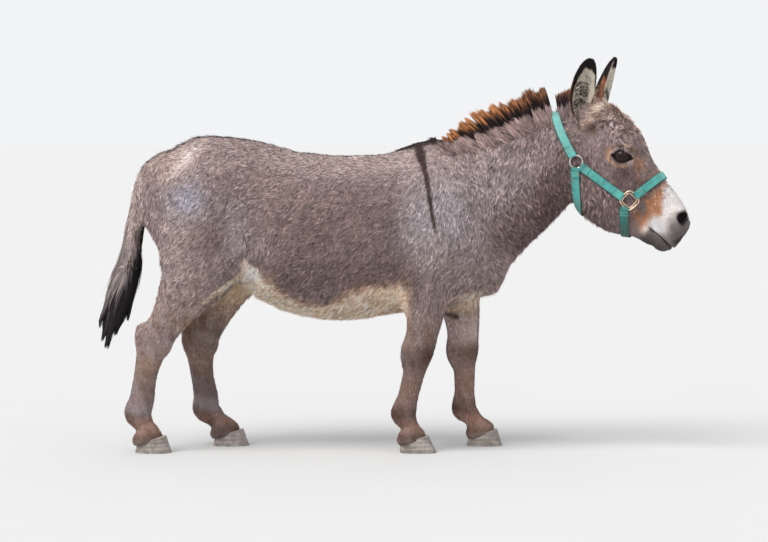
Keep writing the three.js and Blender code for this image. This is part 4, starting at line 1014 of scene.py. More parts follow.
def feature_size(p):
    """Longest edge wanted in the skin near points."""
    h = to_head(p)
    face = beyond(p, HEAD_CUT) > 20
    s, y, t = h[:, 0], np.abs(h[:, 1]), h[:, 2]
    wanted = np.full(len(p), 99.0)
    wanted[face] = 7.0
    eye = np.sqrt((s - EYE["s"]) ** 2 + (t - EYE["t"]) ** 2)
    near_eye = face & (eye < 46) & (y > 44)
    wanted[near_eye] = 2.4
    opening, _, _ = lid_share(s, t)
    wanted[near_eye & (np.abs(opening - 1.05) < 0.3)] = 1.2
    wanted[face & (s > 400)] = 3.2
    nose = np.sqrt((s - NOSTRIL["at"][0]) ** 2 + (t - NOSTRIL["at"][1]) ** 2)
    wanted[face & (nose < 32) & (y > 10)] = 1.9
    gap = np.abs(t - mouth_line(s))
    wanted[face & (s > 424) & (gap < 9)] = 1.8
    return wanted


# ------------------------------------------------------------------ the skin
SKIN_BOX = ((-842, -222, 12), (918, 222, 1112))
SKIN_CELL = 8.6
SKIN_SPLITS = 4
SKIN_SHADE = 0.86  # the skin is a little darker than the tufts over it
skin_v, skin_f = surface_net(skin_distance, *SKIN_BOX, SKIN_CELL)


def settle(p):
    return onto(skin_distance, p, 1)


for _ in range(SKIN_SPLITS):
    skin_v, skin_f = split_long(skin_v, skin_f, feature_size, settle)
fine = np.nonzero(beyond(skin_v, HEAD_CUT) > 10)[0]
skin_v = relax(skin_v, skin_f, fine, settle)
on_head = np.nonzero(beyond(skin_v, HEAD_CUT) > 25)[0]
plain_normals = vertex_normals(skin_v, skin_f)
markings_with_painted_light = paint(skin_v, plain_normals)
skin_v[on_head] = detail_head(skin_v[on_head])
skin_n = vertex_normals(skin_v, skin_f)
print("skin", len(skin_v), len(skin_f), round(time.time() - BEGAN, 1))


# ------------------------------------------------------------------ ears
def ear_frame(ear):
    base, axis, opening, bow = (np.array(ear[k], float) for k in ("base", "axis", "open", "bow"))
    along = unit(axis)
    out = unit(opening - along * (opening @ along))
    return base, along, out, np.cross(along, out), bow


def ear_point(ear, share, q, inner):
    """Points of an ear's cup; q runs from one rim (-1) to the other (1)."""
    base, along, out, across, bow = ear_frame(ear)
    rows = catmull(EAR_SECTIONS, 8)
    wide = np.interp(share, rows[:, 0], rows[:, 1]) - EAR_MARGIN
    deep = np.interp(share, rows[:, 0], rows[:, 2]) * ear["cup"] - EAR_MARGIN * 0.5
    wide = np.maximum(wide - (EAR_THICK * 0.35 if inner else 0), 1.0)
    depth = deep * (1 - q * q) - (np.minimum(EAR_THICK - 2, deep * 0.5) if inner else 0.0)
    centre = base + along * (share * ear["length"])[:, None] + bow * (4 * share * (1 - share))[:, None]
    return centre + across * (q * wide)[:, None] - out * depth[:, None]


def ear_mesh(ear):
    shares, around = 44, 22
    u = np.linspace(0, 0.992, shares)
    q = np.sin(np.linspace(-np.pi / 2, np.pi / 2, around))
    grid_u, grid_q = np.meshgrid(u, q, indexing="ij")
    outer = ear_point(ear, grid_u.ravel(), grid_q.ravel(), False).reshape(shares, around, 3)
    inner = ear_point(ear, grid_u.ravel(), grid_q.ravel(), True).reshape(shares, around, 3)[:, ::-1]
    ring = np.concatenate([outer, inner], 1)
    n = ring.shape[1]
    quads = ring_faces(shares, n)
    faces = np.concatenate([quads[:, [0, 1, 2]], quads[:, [0, 2, 3]]])
    top = (shares - 1) * n
    caps = []
    for k in range(around - 1):
        caps += [(top + k, top + k + 1, top + n - 2 - k), (top + k, top + n - 2 - k, top + n - 1 - k)]
        caps += [(k, n - 2 - k, k + 1), (k, n - 1 - k, n - 2 - k)]
    vertices = ring.reshape(-1, 3)
    faces = np.concatenate([faces, np.array(caps)])
    p = vertices[faces]
    volume = (p[:, 0] * np.cross(p[:, 1] - ring.mean((0, 1)), p[:, 2] - ring.mean((0, 1)))).sum()
    share = np.repeat(u, n)
    across = np.tile(np.concatenate([q, q[::-1]]), shares)
    inner_side = np.tile(np.concatenate([np.zeros(around), np.ones(around)]), shares)
    return vertices, (faces if volume > 0 else faces[:, ::-1]), share, across, inner_side


def paint_ear(p, share, q, inner, name):
    """Black rims and tip, orange on the back, cream hair inside with dark patches."""
    wobble = 0.05 * small_waves(p) + 0.02 * mid_waves(p)
    back = inner < 0.5
    near_rim = q < 0  # the rear rim of the right ear, the rim nearer the camera of the left ear
    c = many(vec(224, 212, 196), len(p))
    tan = mix(mix(DUN, WARM, 0.6), vec(172, 106, 70), 0.9 * ramp(share, 0.1, 0.3))
    c = np.where(back[:, None], tan, c)
    dark_back = np.maximum(
        ramp(share + wobble, 0.66, 0.76),
        ramp(np.abs(q + 0.35) - 0.6 * share + wobble, 0.0, -0.16) * ramp(share, 0.42, 0.56)
    )
    pale_back = ramp(q + wobble, -0.1, 0.25) * (1 - ramp(share, 0.6, 0.7)) * ramp(share, 0.2, 0.3)
    c = mix(c, BROWN + 18, np.where(back, 0.8 * bump(q, -0.55, 0.4) * (1 - ramp(share, 0.5, 0.66)), 0))
    c = mix(c, c * 0.62, np.where(back, 0.7 * ramp(small_waves(p * (2, 2, 0.7)), -0.2, 0.9), 0))
    c = mix(c, vec(222, 172, 136), np.where(back, 0.7 * pale_back, 0))
    c = mix(c, DARK - 10, np.where(back, dark_back, 0))
    rear_at = np.interp(share, [0, 0.25, 0.5, 0.68, 0.84], [0.78, 0.74, 0.64, 0.5, 0.16])
    front_at = np.interp(share, [0, 0.6, 0.76, 0.88], [0.95, 0.95, 0.88, 0.4])
    rim_at = np.where(near_rim, rear_at, front_at)
    rim = ramp(np.abs(q) + wobble * 0.6, rim_at, rim_at + 0.08)
    strength = np.where(near_rim, ramp(share, 0.0, 0.06), ramp(share, 0.5, 0.6)) if name == "right" else 0
    # the inside of the left ear: pale hair, lightened further as painted light against the shade in its cup
    if name == "left":
        c = mix(c, vec(250, 240, 226), np.where(back, 0, 0.8))
        flecks = ramp(small_waves(p * (1.6, 1.6, 0.9)), 0.35, 0.8) * bump(share, 0.36, 0.22)
        c = mix(c, DARK, np.where(back, 0, 0.8 * flecks))
    tip = ramp(share + wobble + 0.03 * np.abs(q), 0.84, 0.9)
    c = mix(c, DARK - 12, np.where(back, 0, np.maximum(tip, rim * strength)))
    if name == "right":
        c = mix(c, BROWN, np.where(back | near_rim, 0, 0.8 * rim * (1 - ramp(share, 0.4, 0.6))))
    streak = small_waves(p * (1, 1, 0.45)) + 0.6 * mid_waves(p)
    c = mix(c, vec(150, 138, 126), np.where(back, 0, 0.5 * bump(q, 0.35, 0.3) * bump(share, 0.34, 0.2)))
    middle = 0.02 + 0.2 * np.sin(share * 21)
    patches = (
        ramp(streak, -1.4, -0.4) * bump(q, middle, 0.32)
        * np.maximum(bump(share, 0.54, 0.15), bump(share, 0.29, 0.1))
    )
    c = mix(c, DARK - 14, np.where(back, 0, np.clip(1.5 * patches, 0, 1)))
    c = mix(c, vec(228, 208, 192), np.where(back, 0, 0.85 * (1 - ramp(share, 0.04, 0.16))))
    return np.clip(c, 4, 250)


ears = {}
for name in SIDES:
    v, f, share, q, inner = ear_mesh(EARS[name])
    ears[name] = {
        "v": v, "f": f, "n": vertex_normals(v, f), "share": share, "q": q, "inner": inner,
        "paint": paint_ear(v, share, q, inner, name),
    }

all_v, all_f, all_c = [skin_v], [skin_f], [markings_with_painted_light]
start = len(skin_v)
for e in ears.values():
    all_v.append(e["v"])
    all_f.append(e["f"] + start)
    all_c.append(e["paint"])
    start += len(e["v"])
FLESH = ["torso", "neck", "head", "tail_dock"] + [f"ear_{n}" for n in SIDES]
FLESH += [f"{leg}leg_{part}_{n}" for leg in ("fore", "hind") for part in ("upper", "lower") for n in SIDES]
skin = mesh_object(
    "donkey_skin", np.concatenate(all_v), np.concatenate(all_f), skin_material, "coat",
    colours=linear(np.concatenate(all_c)) * SKIN_SHADE,
)
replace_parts(skin, *FLESH)


# ------------------------------------------------------------------ tufts of hair
def hashed(cells, seed):
    """Four numbers in 0 to 1 for each whole-number cell."""
    c = cells.astype(np.uint64)
    out = []
    for k in range(4):
        h = c[:, 0] * np.uint64(73856093) ^ c[:, 1] * np.uint64(19349663) ^ c[:, 2] * np.uint64(83492791)
        h = h ^ np.uint64(seed * 7919 + k * 104729 + 12345)
        for shift, times in ((33, 0xFF51AFD7ED558CCD), (29, 0xC4CEB9FE1A85EC53), (32, 0x9E3779B97F4A7C15)):
            h = (h ^ (h >> np.uint64(shift))) * np.uint64(times)
        out.append(((h >> np.uint64(40)).astype(float)) / float(1 << 24))
    return np.stack(out, 1)


def clumps(p, cell, seed):
    """A near jittered clump centre for each point and four random numbers of that clump."""
    base = np.floor(p / cell - 0.5).astype(np.int64)
    best = np.full(len(p), 1e18)
    centre = np.zeros_like(p)
    for dx in (0, 1):
        for dy in (0, 1):
            for dz in (0, 1):
                c = base + (dx, dy, dz)
                h = hashed(c + 100000, seed)
                spot = (c + 0.2 + 0.6 * h[:, :3]) * cell
                d = ((p - spot) ** 2).sum(1)
                m = d < best
                best[m], centre[m] = d[m], spot[m]
    return centre, hashed(np.floor(centre / 0.01).astype(np.int64) + 10**7, seed + 5)


WHORL = (92, 96)  # s and t of the whorl on the forehead


def flow(p, normal):
    """The lie of the coat: unit directions along the skin."""
    r = regions(p)
    h = r["h"]
    side = np.sign(p[:, 1])[:, None]
    x, z = p[:, 0], p[:, 2]
    ones = np.ones(len(p))

    def along(a, b, c):
        return columns(a * ones, b * ones, c * ones)

    d = along(-0.72, 0, -0.62)
    d += side * along(0, 1, 0) * (0.5 * ramp(normal[:, 2], 0.5, 1.0))[:, None]
    d = mix(d, along(-0.86, 0, -0.46), ramp(z, 780, 870))
    d = mix(d, along(-0.12, 0, -1), ramp(x, 0, 150) * (1 - ramp(x, 60, 200) * bump(z, 560, 70)))
    d = mix(d, along(-0.68, 0, -0.74), ramp(-x, 430, 520))
    d = mix(d, along(-0.1, 0, -1), ramp(-x, 625, 690))
    d = mix(d, along(-0.2, 0, -0.95), 0.8 * bump(x, -415, 45) * bump(z, 600, 110))
    belly = ramp(-normal[:, 2], 0.5, 0.9)
    d = mix(d, along(-0.9, 0, 0) - side * along(0, 0.4, 0), belly)
    # the neck: straight down at its top, forwards and down on the throat and the breast
    below = below_neck(x, z)
    d = mix(d, along(-0.16, 0, -1), r["neck"])
    d = mix(d, along(0.62, 0, -0.8), ramp(below, 15, 120) * ramp(x, 225, 300))
    d = mix(d, along(-0.3, 0, -0.95), r["leg"])
    d = mix(d, along(-0.05, 0, -1), r["shank"])
    d = mix(d, along(-0.2, 0, -1), r["tail"])
    # the face: away from a whorl over the eyes, then along the nose and down the cheeks
    s, y, t = h.T
    whorl = columns(s - WHORL[0], y * 1.2, 0.5 * (t - WHORL[1]))
    curl = columns(-y * 0.7, s - WHORL[0], 0 * s)
    face_way = unit(whorl + 0.6 * curl * bump(norm(whorl), 0, 45)[:, None])
    down = columns(ones, 0.1 * np.sign(y), -0.12 * ones)
    cheek = columns(ones, 0 * s, -0.5 * ones)
    face_way = mix(face_way, down, ramp(s, 125, 200))
    face_way = mix(face_way, cheek, ramp(-t, -24, 30) * ramp(s, 80, 150))
    face_way = mix(
        face_way, columns(-0.5 * ones, 0 * s, -0.85 * ones), ramp(-s, -90, -10) * ramp(-t, -10, 30)
    )
    # hair parts round the eye: over it a fringe hangs down, behind it the hair runs back
    over_eye = bump(s, EYE["s"] - 18, 26) * bump(t, EYE["t"] + 22, 17) * (np.abs(y) > 40)
    face_way = mix(unit(face_way), columns(0.75 * ones, 0 * s, -0.66 * ones), 0.85 * over_eye)
    d = mix(unit(d), unit(face_way) @ HEAD_AXES, r["face"])
    d = d + 0.2 * np.stack([w(p) for w in warp], 1)
    d = d - normal * (d * normal).sum(1)[:, None]
    return unit(d)


def sample(vertices, faces, normals, colours, density):
    """Random places on a mesh, density(places) to the square millimetre."""
    p = vertices[faces]
    area = norm(np.cross(p[:, 1] - p[:, 0], p[:, 2] - p[:, 0])) / 2
    expected = area * density(p.mean(1))
    count = np.floor(expected + rng.random(len(faces))).astype(int)
    which = np.repeat(np.arange(len(faces)), count)
    a, b = rng.random(len(which)), rng.random(len(which))
    over = a + b > 1
    a[over], b[over] = 1 - a[over], 1 - b[over]
    w = columns(1 - a - b, a, b)
    f = faces[which]

    def blend(rows):
        return (rows[f] * w[..., None]).sum(1)

    return blend(vertices), unit(blend(normals)), blend(colours)


TUFT_ROLL = 0.5  # spread of the turn about a tuft's own axis, in radians
TUFT_SINK = 1.2  # how deep its root stands in the skin


def tuft_rows(roots, normals, ways, length, width, height, bend, segments, pull_to=None):
    """Corners of ridge-shaped, tapered tufts: rows of (left, ridge, right), then the tip."""
    n = len(roots)
    across = unit(np.cross(ways, normals))
    angle = rng.normal(0, TUFT_ROLL, n)[:, None]
    across, up = (
        across * np.cos(angle) + normals * np.sin(angle),
        normals * np.cos(angle) - across * np.sin(angle),
    )
    tip = roots + ways * length[:, None] + normals * height[:, None] + across * (bend * length)[:, None]
    if pull_to is not None:
        centre, pull = pull_to
        flat = centre - roots
        flat -= normals * (flat * normals).sum(1)[:, None]
        flat -= ways * (flat * ways).sum(1)[:, None]
        tip += flat * pull
    middle = (
        (roots + tip) / 2 + normals * (height * 0.22)[:, None] - across * (bend * length * 0.35)[:, None]
    )
    rows = []
    for k in range(segments):
        u = k / segments
        at = roots * (1 - u) ** 2 + middle * 2 * u * (1 - u) + tip * u * u
        if k == 0:
            at = at - normals * TUFT_SINK
        w = (width * (1 - 0.55 * u ** 1.5) / 2)[:, None]
        rows += [at + across * w, at + up * w * 0.7, at - across * w]
    rows.append(tip)
    return np.stack(rows, 1)


def tuft_faces(count, segments):
    n = 3 * segments + 1
    faces = []
    for k in range(segments - 1):
        a = 3 * k
        for i in (0, 1):
            faces += [(a + i, a + i + 1, a + i + 4), (a + i, a + i + 4, a + i + 3)]
    a = 3 * (segments - 1)
    faces += [(a, a + 1, a + 3), (a + 1, a + 2, a + 3)]
    return (np.array(faces)[None] + (np.arange(count) * n)[:, None, None]).reshape(-1, 3)


def tuft_colours(base, segments, root, tip):
    """Hair is darker at its root: banding, and painted shade among the tufts; base is one colour each."""
    shade = [root + (1 - root) * min(1.0, 2.2 * k / segments) for k in range(segments)]
    rows = np.repeat(shade, 3).tolist() + [tip]
    return linear(np.clip(base, 4, 250))[:, None, :] * np.array(rows)[None, :, None]


PATCH = 0.003


def tuft_uv(place, segments):
    """Each tuft's own patch of the map, at its root's place on the unwrap."""
    rows = []
    for k in range(segments):
        for side in (-0.5, 0.0, 0.5):
            rows.append((side * PATCH * (1 - 0.5 * k / segments), (k / segments - 0.5) * PATCH))
    rows.append((0, 0.5 * PATCH))
    inside = 0.004 + place * 0.992
    return inside[:, None, :] + np.array(rows)[None]


def tones(spread, count):
    """How much lighter or darker than its fellows each tuft or lock is."""
    return (1 + rng.normal(0, spread, count))[:, None]


class Coat:
    """One piece of coat: groups of tufts gathered into a mesh."""

    def __init__(self, name, material, slot="coat"):
        self.name, self.material, self.slot = name, material, slot
        self.v, self.f, self.c, self.uv, self.total = [], [], [], [], 0

    def add(self, rows, colours, place, segments):
        count, n = rows.shape[:2]
        if not count:
            return
        self.v.append(rows.reshape(-1, 3))
        self.f.append(tuft_faces(count, segments) + self.total)
        self.c.append(colours.reshape(-1, 3))
        self.uv.append(tuft_uv(place, segments).reshape(-1, 2))
        self.total += count * n

    def make(self):
        faces = np.concatenate(self.f)
        print(self.name, len(faces), round(time.time() - BEGAN, 1))
        return mesh_object(
            self.name, np.concatenate(self.v), faces, self.material, self.slot,
            colours=np.concatenate(self.c), uv=np.concatenate(self.uv),
        )


def turn_about(y, z):
    return (np.arctan2(y, z) / (2 * np.pi)) % 1.0


def unwrap(kind, p):
    """Where points of a region lie on that region's own unwrap, 0 to 1 both ways."""
    if kind.startswith(("trunk", "rump")):
        lo, hi = -790.0, 330.0
        u = np.clip(np.arctan2(np.abs(p[:, 1]), p[:, 2] - 660) / np.pi, 0, 1)
        v = (p[:, 0] - lo) / (hi - lo)
    elif kind == "neck":
        u = turn_about(p[:, 1] + 10, -(p[:, 2] - (700 + 0.62 * (p[:, 0] - 190))))
        v = ((p[:, 0] + 0.55 * (p[:, 2] - 700)) - 130) / 560
    elif kind.startswith("head"):
        h = to_head(p)
        u = turn_about(h[:, 1], -(h[:, 2] + 10 - 0.02 * h[:, 0]))
        v = (h[:, 0] + 110) / 640
    else:
        pair = FORELEGS if kind == "forelegs" else HINDLEGS
        u = np.zeros(len(p))
        for way, name in ((RIGHT, "right"), (LEFT, "left")):
            line = np.array(sorted(pair[name], key=lambda q: q[2]), float)
            m = p[:, 1] * way > 0
            middle = np.interp(p[m, 2], line[:, 2], line[:, 0])
            around = turn_about(p[m, 1] - way * 96, p[m, 0] - middle)
            u[m] = (around + (0 if way == RIGHT else 1)) / 2
        v = p[:, 2] / (470 if kind == "forelegs" else 560)
    return np.clip(columns(u, v), 0, 1)


def kind_of(p):
    """The coat piece that covers each point of the skin."""
    face = beyond(p, HEAD_CUT) > 0
    neck = (beyond(p, NECK_CUT) > 0) & ~face
    fore = (p[:, 2] < 440) & (p[:, 0] > -60) & (np.abs(p[:, 1]) > 22) & ~face
    hind = (
        (p[:, 2] < 540) & (p[:, 0] < -430) & (p[:, 0] > -800) & ~face
        & ~((p[:, 0] < -742) & (np.abs(p[:, 1]) < 45) & (p[:, 2] > 400))
    )
    out = np.where(p[:, 1] < 0, 0, 1) + np.where(p[:, 0] < -250, 2, 0)
    out = np.where(neck, 4, out)
    out = np.where(face, np.where(p[:, 1] < POLL[1] - 0.25 * (p[:, 0] - POLL[0]), 5, 6), out)
    out = np.where(fore, 7, out)
    return np.where(hind, 8, out)


KINDS = [
    "trunk_right", "trunk_left", "rump_right", "rump_left", "neck", "head_right", "head_left", "forelegs",
    "hindlegs"
]
coats = {k: Coat("coat_" + k, coat_material) for k in KINDS}


def bare(p):
    """How bare the skin is: nostrils, lips and the rims of the eyes."""
    h = to_head(p)
    s, y, t = h[:, 0], np.abs(h[:, 1]), h[:, 2]
    face = beyond(p, HEAD_CUT) > 0
    opening, _, _ = lid_share(s, t)
    eye = (opening < 1.22) & (y > 40)
    ring, _, _ = nostril_share(s, t)
    nose = (ring < 1.1) & (y > 10)
    slit = (np.abs(t - mouth_line(s)) < 4.5) & (s > 430)
    return face & (eye | nose | slit)


def hoofed(p):
    """Places under the tops of the hooves, where no hair grows."""
    out = np.zeros(len(p), bool)
    for under in HOOVES.values():
        q = p - under
        out |= (np.abs(q[:, 0]) < 70) & (np.abs(q[:, 1]) < 60) & (q @ CORONET_NORMAL < 0)
    return out


def grow(layer):
    """Lays one layer of tufts over the whole skin."""
    def density(p):
        r = regions(p)
        base = layer["density"] * (1 + (layer["face"] - 1) * r["face"] + (layer["leg"] - 1) * r["leg"])
        return base * (1 + layer["muzzle"] * r["muzzle"])

    p, n, _ = sample(skin_v, skin_f, skin_n, markings_with_painted_light, density)
    keep = ~bare(p) & ~hoofed(p)
    p, n = p[keep], n[keep]
    r = regions(p)
    s, y, t = r["h"][:, 0], np.abs(r["h"][:, 1]), r["h"][:, 2]
    way = flow(p, n)
    forehead = r["face"] * bump(s, 110, 62) * ramp(t, 6, 60)
    brow = r["face"] * bump(s, EYE["s"] - 26, 22) * bump(t, EYE["t"] + 24, 16) * (y > 44)
    near_eye = r["face"] * (y > 40) * bump(np.hypot(s - EYE["s"], t - EYE["t"]), 0, 34) * (1 - brow)
    belly = ramp(-n[:, 2], 0.4, 0.8) * (p[:, 2] < 520) * (r["leg"] < 0.5)
    jowl = r["face"] * ramp(-t, 20, 80) * (1 - ramp(s, 300, 390))
    hoof_line = np.full(len(p), 99.0)
    for under in HOOVES.values():
        q = p - under
        near = (np.abs(q[:, 0]) < 75) & (np.abs(q[:, 1]) < 60)
        hoof_line[near] = np.minimum(hoof_line[near], np.maximum(q[near] @ CORONET_NORMAL, 0))
    short = 1 - 0.42 * r["face"] - 0.22 * r["muzzle"] - 0.28 * r["leg"] - 0.1 * r["shank"] - 0.2 * near_eye
    short = short + 0.75 * forehead + 0.45 * brow + 0.12 * r["neck"] + 0.25 * belly + 0.35 * jowl
    short = short * (0.45 + 0.55 * ramp(hoof_line, 0, 16))
    ridge = (
        ramp(-p[:, 0], 500, 580) * (1 - ramp(-p[:, 0], 660, 720)) * (np.abs(p[:, 1]) < 20)
        * ramp(n[:, 2], 0.4, 0.8)
    )
    short = short + 0.5 * ridge
    length = layer["length"] * short * rng.uniform(0.75, 1.25, len(p))
    slim = 1 - 0.34 * r["face"] - 0.2 * r["leg"] - 0.1 * r["muzzle"] + 0.16 * forehead
    width = layer["width"] * slim * rng.uniform(0.8, 1.2, len(p))
    centre, draw = clumps(p, layer["clump"], layer["seed"])
    _, wide_draw = clumps(p, layer["clump"] * 3.4, layer["seed"] + 1)
    ruffled = (
        1 + 1.0 * forehead + 0.5 * brow + 0.3 * r["neck"] + 0.3 * belly + 0.5 * jowl
        - 0.35 * r["leg"] - 0.5 * r["muzzle"]
    )
    height = (
        length * layer["lift"] * (0.5 + 1.0 * draw[:, 1]) * ruffled * rng.uniform(0.75, 1.2, len(p))
        + 1.5 * ridge
    )
    swing = ((draw[:, 0] - 0.5) * layer["swing"] + (wide_draw[:, 0] - 0.5) * 0.4) * (0.6 + 0.4 * ruffled)
    swing = swing + rng.normal(0, 0.05, len(p))
    way = unit(way + np.cross(way, n) * swing[:, None])
    rows = tuft_rows(
        p, n, way, length, width, height, rng.normal(0, 0.06, len(p)), layer["segments"],
        pull_to=(centre, layer["pull"]),
    )
    tone = (
        1 + layer["tone"] * (draw[:, 2] - 0.5) * (0.4 + 0.7 * ruffled)
        + 0.5 * layer["tone"] * (wide_draw[:, 2] - 0.5)
    )
    tone = tone * (1 + 0.22 * (draw[:, 1] - 0.5)) + rng.normal(0, layer["speck"], len(p))
    c = paint(p + way * (length * 0.5)[:, None], n) * tone[:, None]
    c[:, 2] *= 1 - 0.05 * (draw[:, 3] - 0.5)
    colours = tuft_colours(c, layer["segments"], layer["root"], layer["tip"])
    kinds = kind_of(p)
    for i, kind in enumerate(KINDS):
        m = kinds == i
        coats[kind].add(rows[m], colours[m], unwrap(kind, p[m]), layer["segments"])


# root and tip scale a tuft's colour at its root and tip; the dark root is partly painted shade among the
# tufts
UNDERCOAT = {
    "density": 0.138, "face": 1.9, "leg": 1.3, "muzzle": 0.7, "length": 11.5, "width": 1.82, "lift": 0.16,
    "clump": 6.5, "seed": 3, "swing": 0.7, "pull": 0.4, "tone": 0.5, "speck": 0.11, "root": 0.56,
    "tip": 1.16, "segments": 1
}
MIDCOAT = {
    "density": 0.046, "face": 0.25, "leg": 0.9, "muzzle": -0.5, "length": 14.0, "width": 1.7, "lift": 0.26,
    "clump": 8.0, "seed": 5, "swing": 0.8, "pull": 0.6, "tone": 0.6, "speck": 0.14, "root": 0.5,
    "tip": 1.22, "segments": 1
}
TOPCOAT = {
    "density": 0.006, "face": 8.8, "leg": 1.6, "muzzle": -0.7, "length": 17.0, "width": 1.9, "lift": 0.24,
    "clump": 10.0, "seed": 9, "swing": 0.85, "pull": 0.6, "tone": 0.55, "speck": 0.12, "root": 0.6,
    "tip": 1.22, "segments": 2
}
grow(UNDERCOAT)
grow(MIDCOAT)
grow(TOPCOAT)
for coat in coats.values():
    coat.make()

# ------------------------------------------------------------------ ear hair
EAR_DENSITY = 0.22  # tufts to the square millimetre
CUP_HAIRS = 900
DARK_BANDS = ((0.49, 0.12), (0.26, 0.08))  # middle and half height, as shares of the ear
ear_coat = Coat("coat_ears", coat_material)
for index, (name, e) in enumerate(ears.items()):
    base, along, out, across, bow = ear_frame(EARS[name])
    extra = columns(e["share"], e["q"], e["inner"])
    packed = np.concatenate([e["paint"], extra], 1)
    p, n, c = sample(e["v"], e["f"], e["n"], packed, lambda q: np.full(len(q), EAR_DENSITY))
    share, q, inner, c = c[:, 3], c[:, 4], c[:, 5] > 0.5, c[:, :3]
    way = (
        along + 0.25 * across * q[:, None] * np.where(inner, -1, 0.2)[:, None]
        + 0.12 * rng.normal(size=p.shape)
    )
    way = unit(way - n * (way * n).sum(1)[:, None])
    length = np.where(inner, 15 * (1 - 0.5 * share), 7.5) * rng.uniform(0.7, 1.3, len(p))
    length = np.where(inner & (np.abs(q) > 0.6), 6.0, length) * np.where(inner & (share > 0.7), 0.6, 1.0)
    height = length * np.where(inner, 0.28, 0.14)
    rows = tuft_rows(p, n, way, length, np.full(len(p), 1.85), height, rng.normal(0, 0.1, len(p)), 2)
    tone = tones(0.12, len(p))
    place = columns((index * 2 + inner + (q + 1) / 2 * 0.98) / 4, share)
    ear_coat.add(rows, tuft_colours(c * tone, 2, 0.75, 1.08), np.clip(place, 0, 1), 2)
    # long pale hair from the front rims into the cup
    count = CUP_HAIRS
    share = rng.uniform(0.02, 0.66, count)
    q = np.sign(rng.uniform(-1, 1, count)) * rng.uniform(0.4, 0.72, count)
    q = np.where((q < 0) & (share > 0.3), -0.5 + 0.2 * rng.random(count), q)
    p = ear_point(EARS[name], share, q, True)
    n = unit(out[None] * 0.8 - across[None] * np.sign(q)[:, None] * 0.6 + 0 * p)
    way = unit(along * 0.8 - across * np.sign(q)[:, None] * 0.75 + 0.2 * rng.normal(size=p.shape))
    c = many(vec(224, 210, 194), count) * tones(0.1, count)
    dark = (rng.random(count) < 0.62) & np.any([np.abs(share - at) < half for at, half in DARK_BANDS], 0)
    c[dark] = DARK
    length = rng.uniform(12, 26, count) * (1 - 0.4 * share)
    rows = tuft_rows(p, n, way, length, np.full(count, 1.5), length * 0.16, rng.normal(0, 0.15, count), 3)
    place = columns((index * 2 + 1 + (q + 1) / 2 * 0.98) / 4, share)
    ear_coat.add(rows, tuft_colours(c, 3, 0.8, 1.05), np.clip(place, 0, 1), 3)
ear_coat.make()


# ------------------------------------------------------------------ where the halter runs
STRAP_LIFT = 2.2
RING = {"at": (146, -93), "radius": 19, "wire": 2.4}
SQUARE = {"at": (326, -23), "radius": 28, "wire": 3}
SQUARE_FLAT = 0.86  # from a square's middle to its side, as a share of its radius
CHEEK = ((170, -87), (299, -37))
CROWN = (RING["at"], (-163, 20), 0.05, 72)
THROAT = ((147, -97), (129, -69), -0.06, 73)
NOSEBAND = (SQUARE["at"], (-10, 115), 0, 62)
CHIN = ((314, -34), (76, -52), 0, 61)


def surface_on_ray(start, way):
    """Outermost points of the coat's outline on rays from inside the body."""
    start, way = np.atleast_2d(start), np.atleast_2d(way)
    outside = np.full(len(start), 260.0)
    for _ in range(64):
        free = (body_form.at(start + way * (outside - 4)[:, None]) > 0) & (outside > 4)
        if not free.any():
            break
        outside[free] -= 4
    inside = outside - 4
    for _ in range(12):
        half = (inside + outside) / 2
        out = body_form.at(start + way * half[:, None]) > 0
        outside, inside = np.where(out, half, outside), np.where(out, inside, half)
    return start + way * outside[:, None]


def over_path(spec, steps):
    anchor, way, bow, half = spec
    ws, wt = np.array(way) / math.hypot(*way)
    angle = np.radians(np.linspace(-half, half, steps + 1))
    c, s = np.cos(angle), np.sin(angle)
    b = bow * np.abs(2 * s * c)
    ways = np.array([head_way(ws * ci - wt * bi, si, wt * ci + ws * bi) for ci, si, bi in zip(c, s, b)])
    centre = from_head((anchor[0], 0, anchor[1]))
    return surface_on_ray(np.repeat(centre[None], len(ways), 0), ways)


# ------------------------------------------------------------------ long locks
SIDEWAYS = vec(0, 1, 0)
crown_line = over_path(CROWN, 60)


def clear_of_strap(points, gap):
    """Which points keep a gap from the middle of the strap over the poll."""
    far = np.ones(len(points), bool)
    for spot in crown_line:
        far &= ((points - spot) ** 2).sum(1) > gap * gap
    return far


def locks(piece, line, sideways, width, colours, place):
    """Tapered, ridge-shaped locks along lines of points, with one colour per point."""
    free = np.ones(len(place), bool)
    for share, gap in ((0.35, 13), (0.7, 15), (1, 16)):
        free &= clear_of_strap(line[round(share * (len(line) - 1))], gap)
    line, sideways, width = [q[free] for q in line], sideways[free], width[free]
    colours, place = [q[free] for q in colours], place[free]
    segments = len(line) - 1
    rows, paints = [], []
    for k in range(segments):
        u = k / segments
        along = unit(line[k + 1] - line[max(k - 1, 0)])
        wide = unit(sideways - along * (sideways * along).sum(1)[:, None])
        up = np.cross(along, wide)
        w = (width * (0.7 + 0.6 * u if u < 0.5 else 1.0 - 0.72 * ((u - 0.5) / 0.5) ** 1.4) / 2)[:, None]
        rows += [line[k] + wide * w, line[k] + up * w * 0.6, line[k] - wide * w]
        paints += [colours[k]] * 3
    rows.append(line[-1])
    paints.append(colours[-1])
    piece.add(np.stack(rows, 1), linear(np.clip(np.stack(paints, 1), 4, 250)), place, segments)


def curve(roots, bends, tips, segments):
    out = []
    for k in range(segments + 1):
        u = k / segments
        out.append(roots * (1 - u) ** 2 + bends * 2 * u * (1 - u) + tips * u * u)
    return out


def shades(stops, segments):
    """Colours along a lock, from (share, colours) stops."""
    out = []
    for k in range(segments + 1):
        u = k / segments
        below = max((s for s in stops if s[0] <= u), key=lambda s: s[0])
        above = min((s for s in stops if s[0] >= u), key=lambda s: s[0])
        f = 0 if above[0] == below[0] else (u - below[0]) / (above[0] - below[0])
        out.append(below[1] + (above[1] - below[1]) * f)
    return out


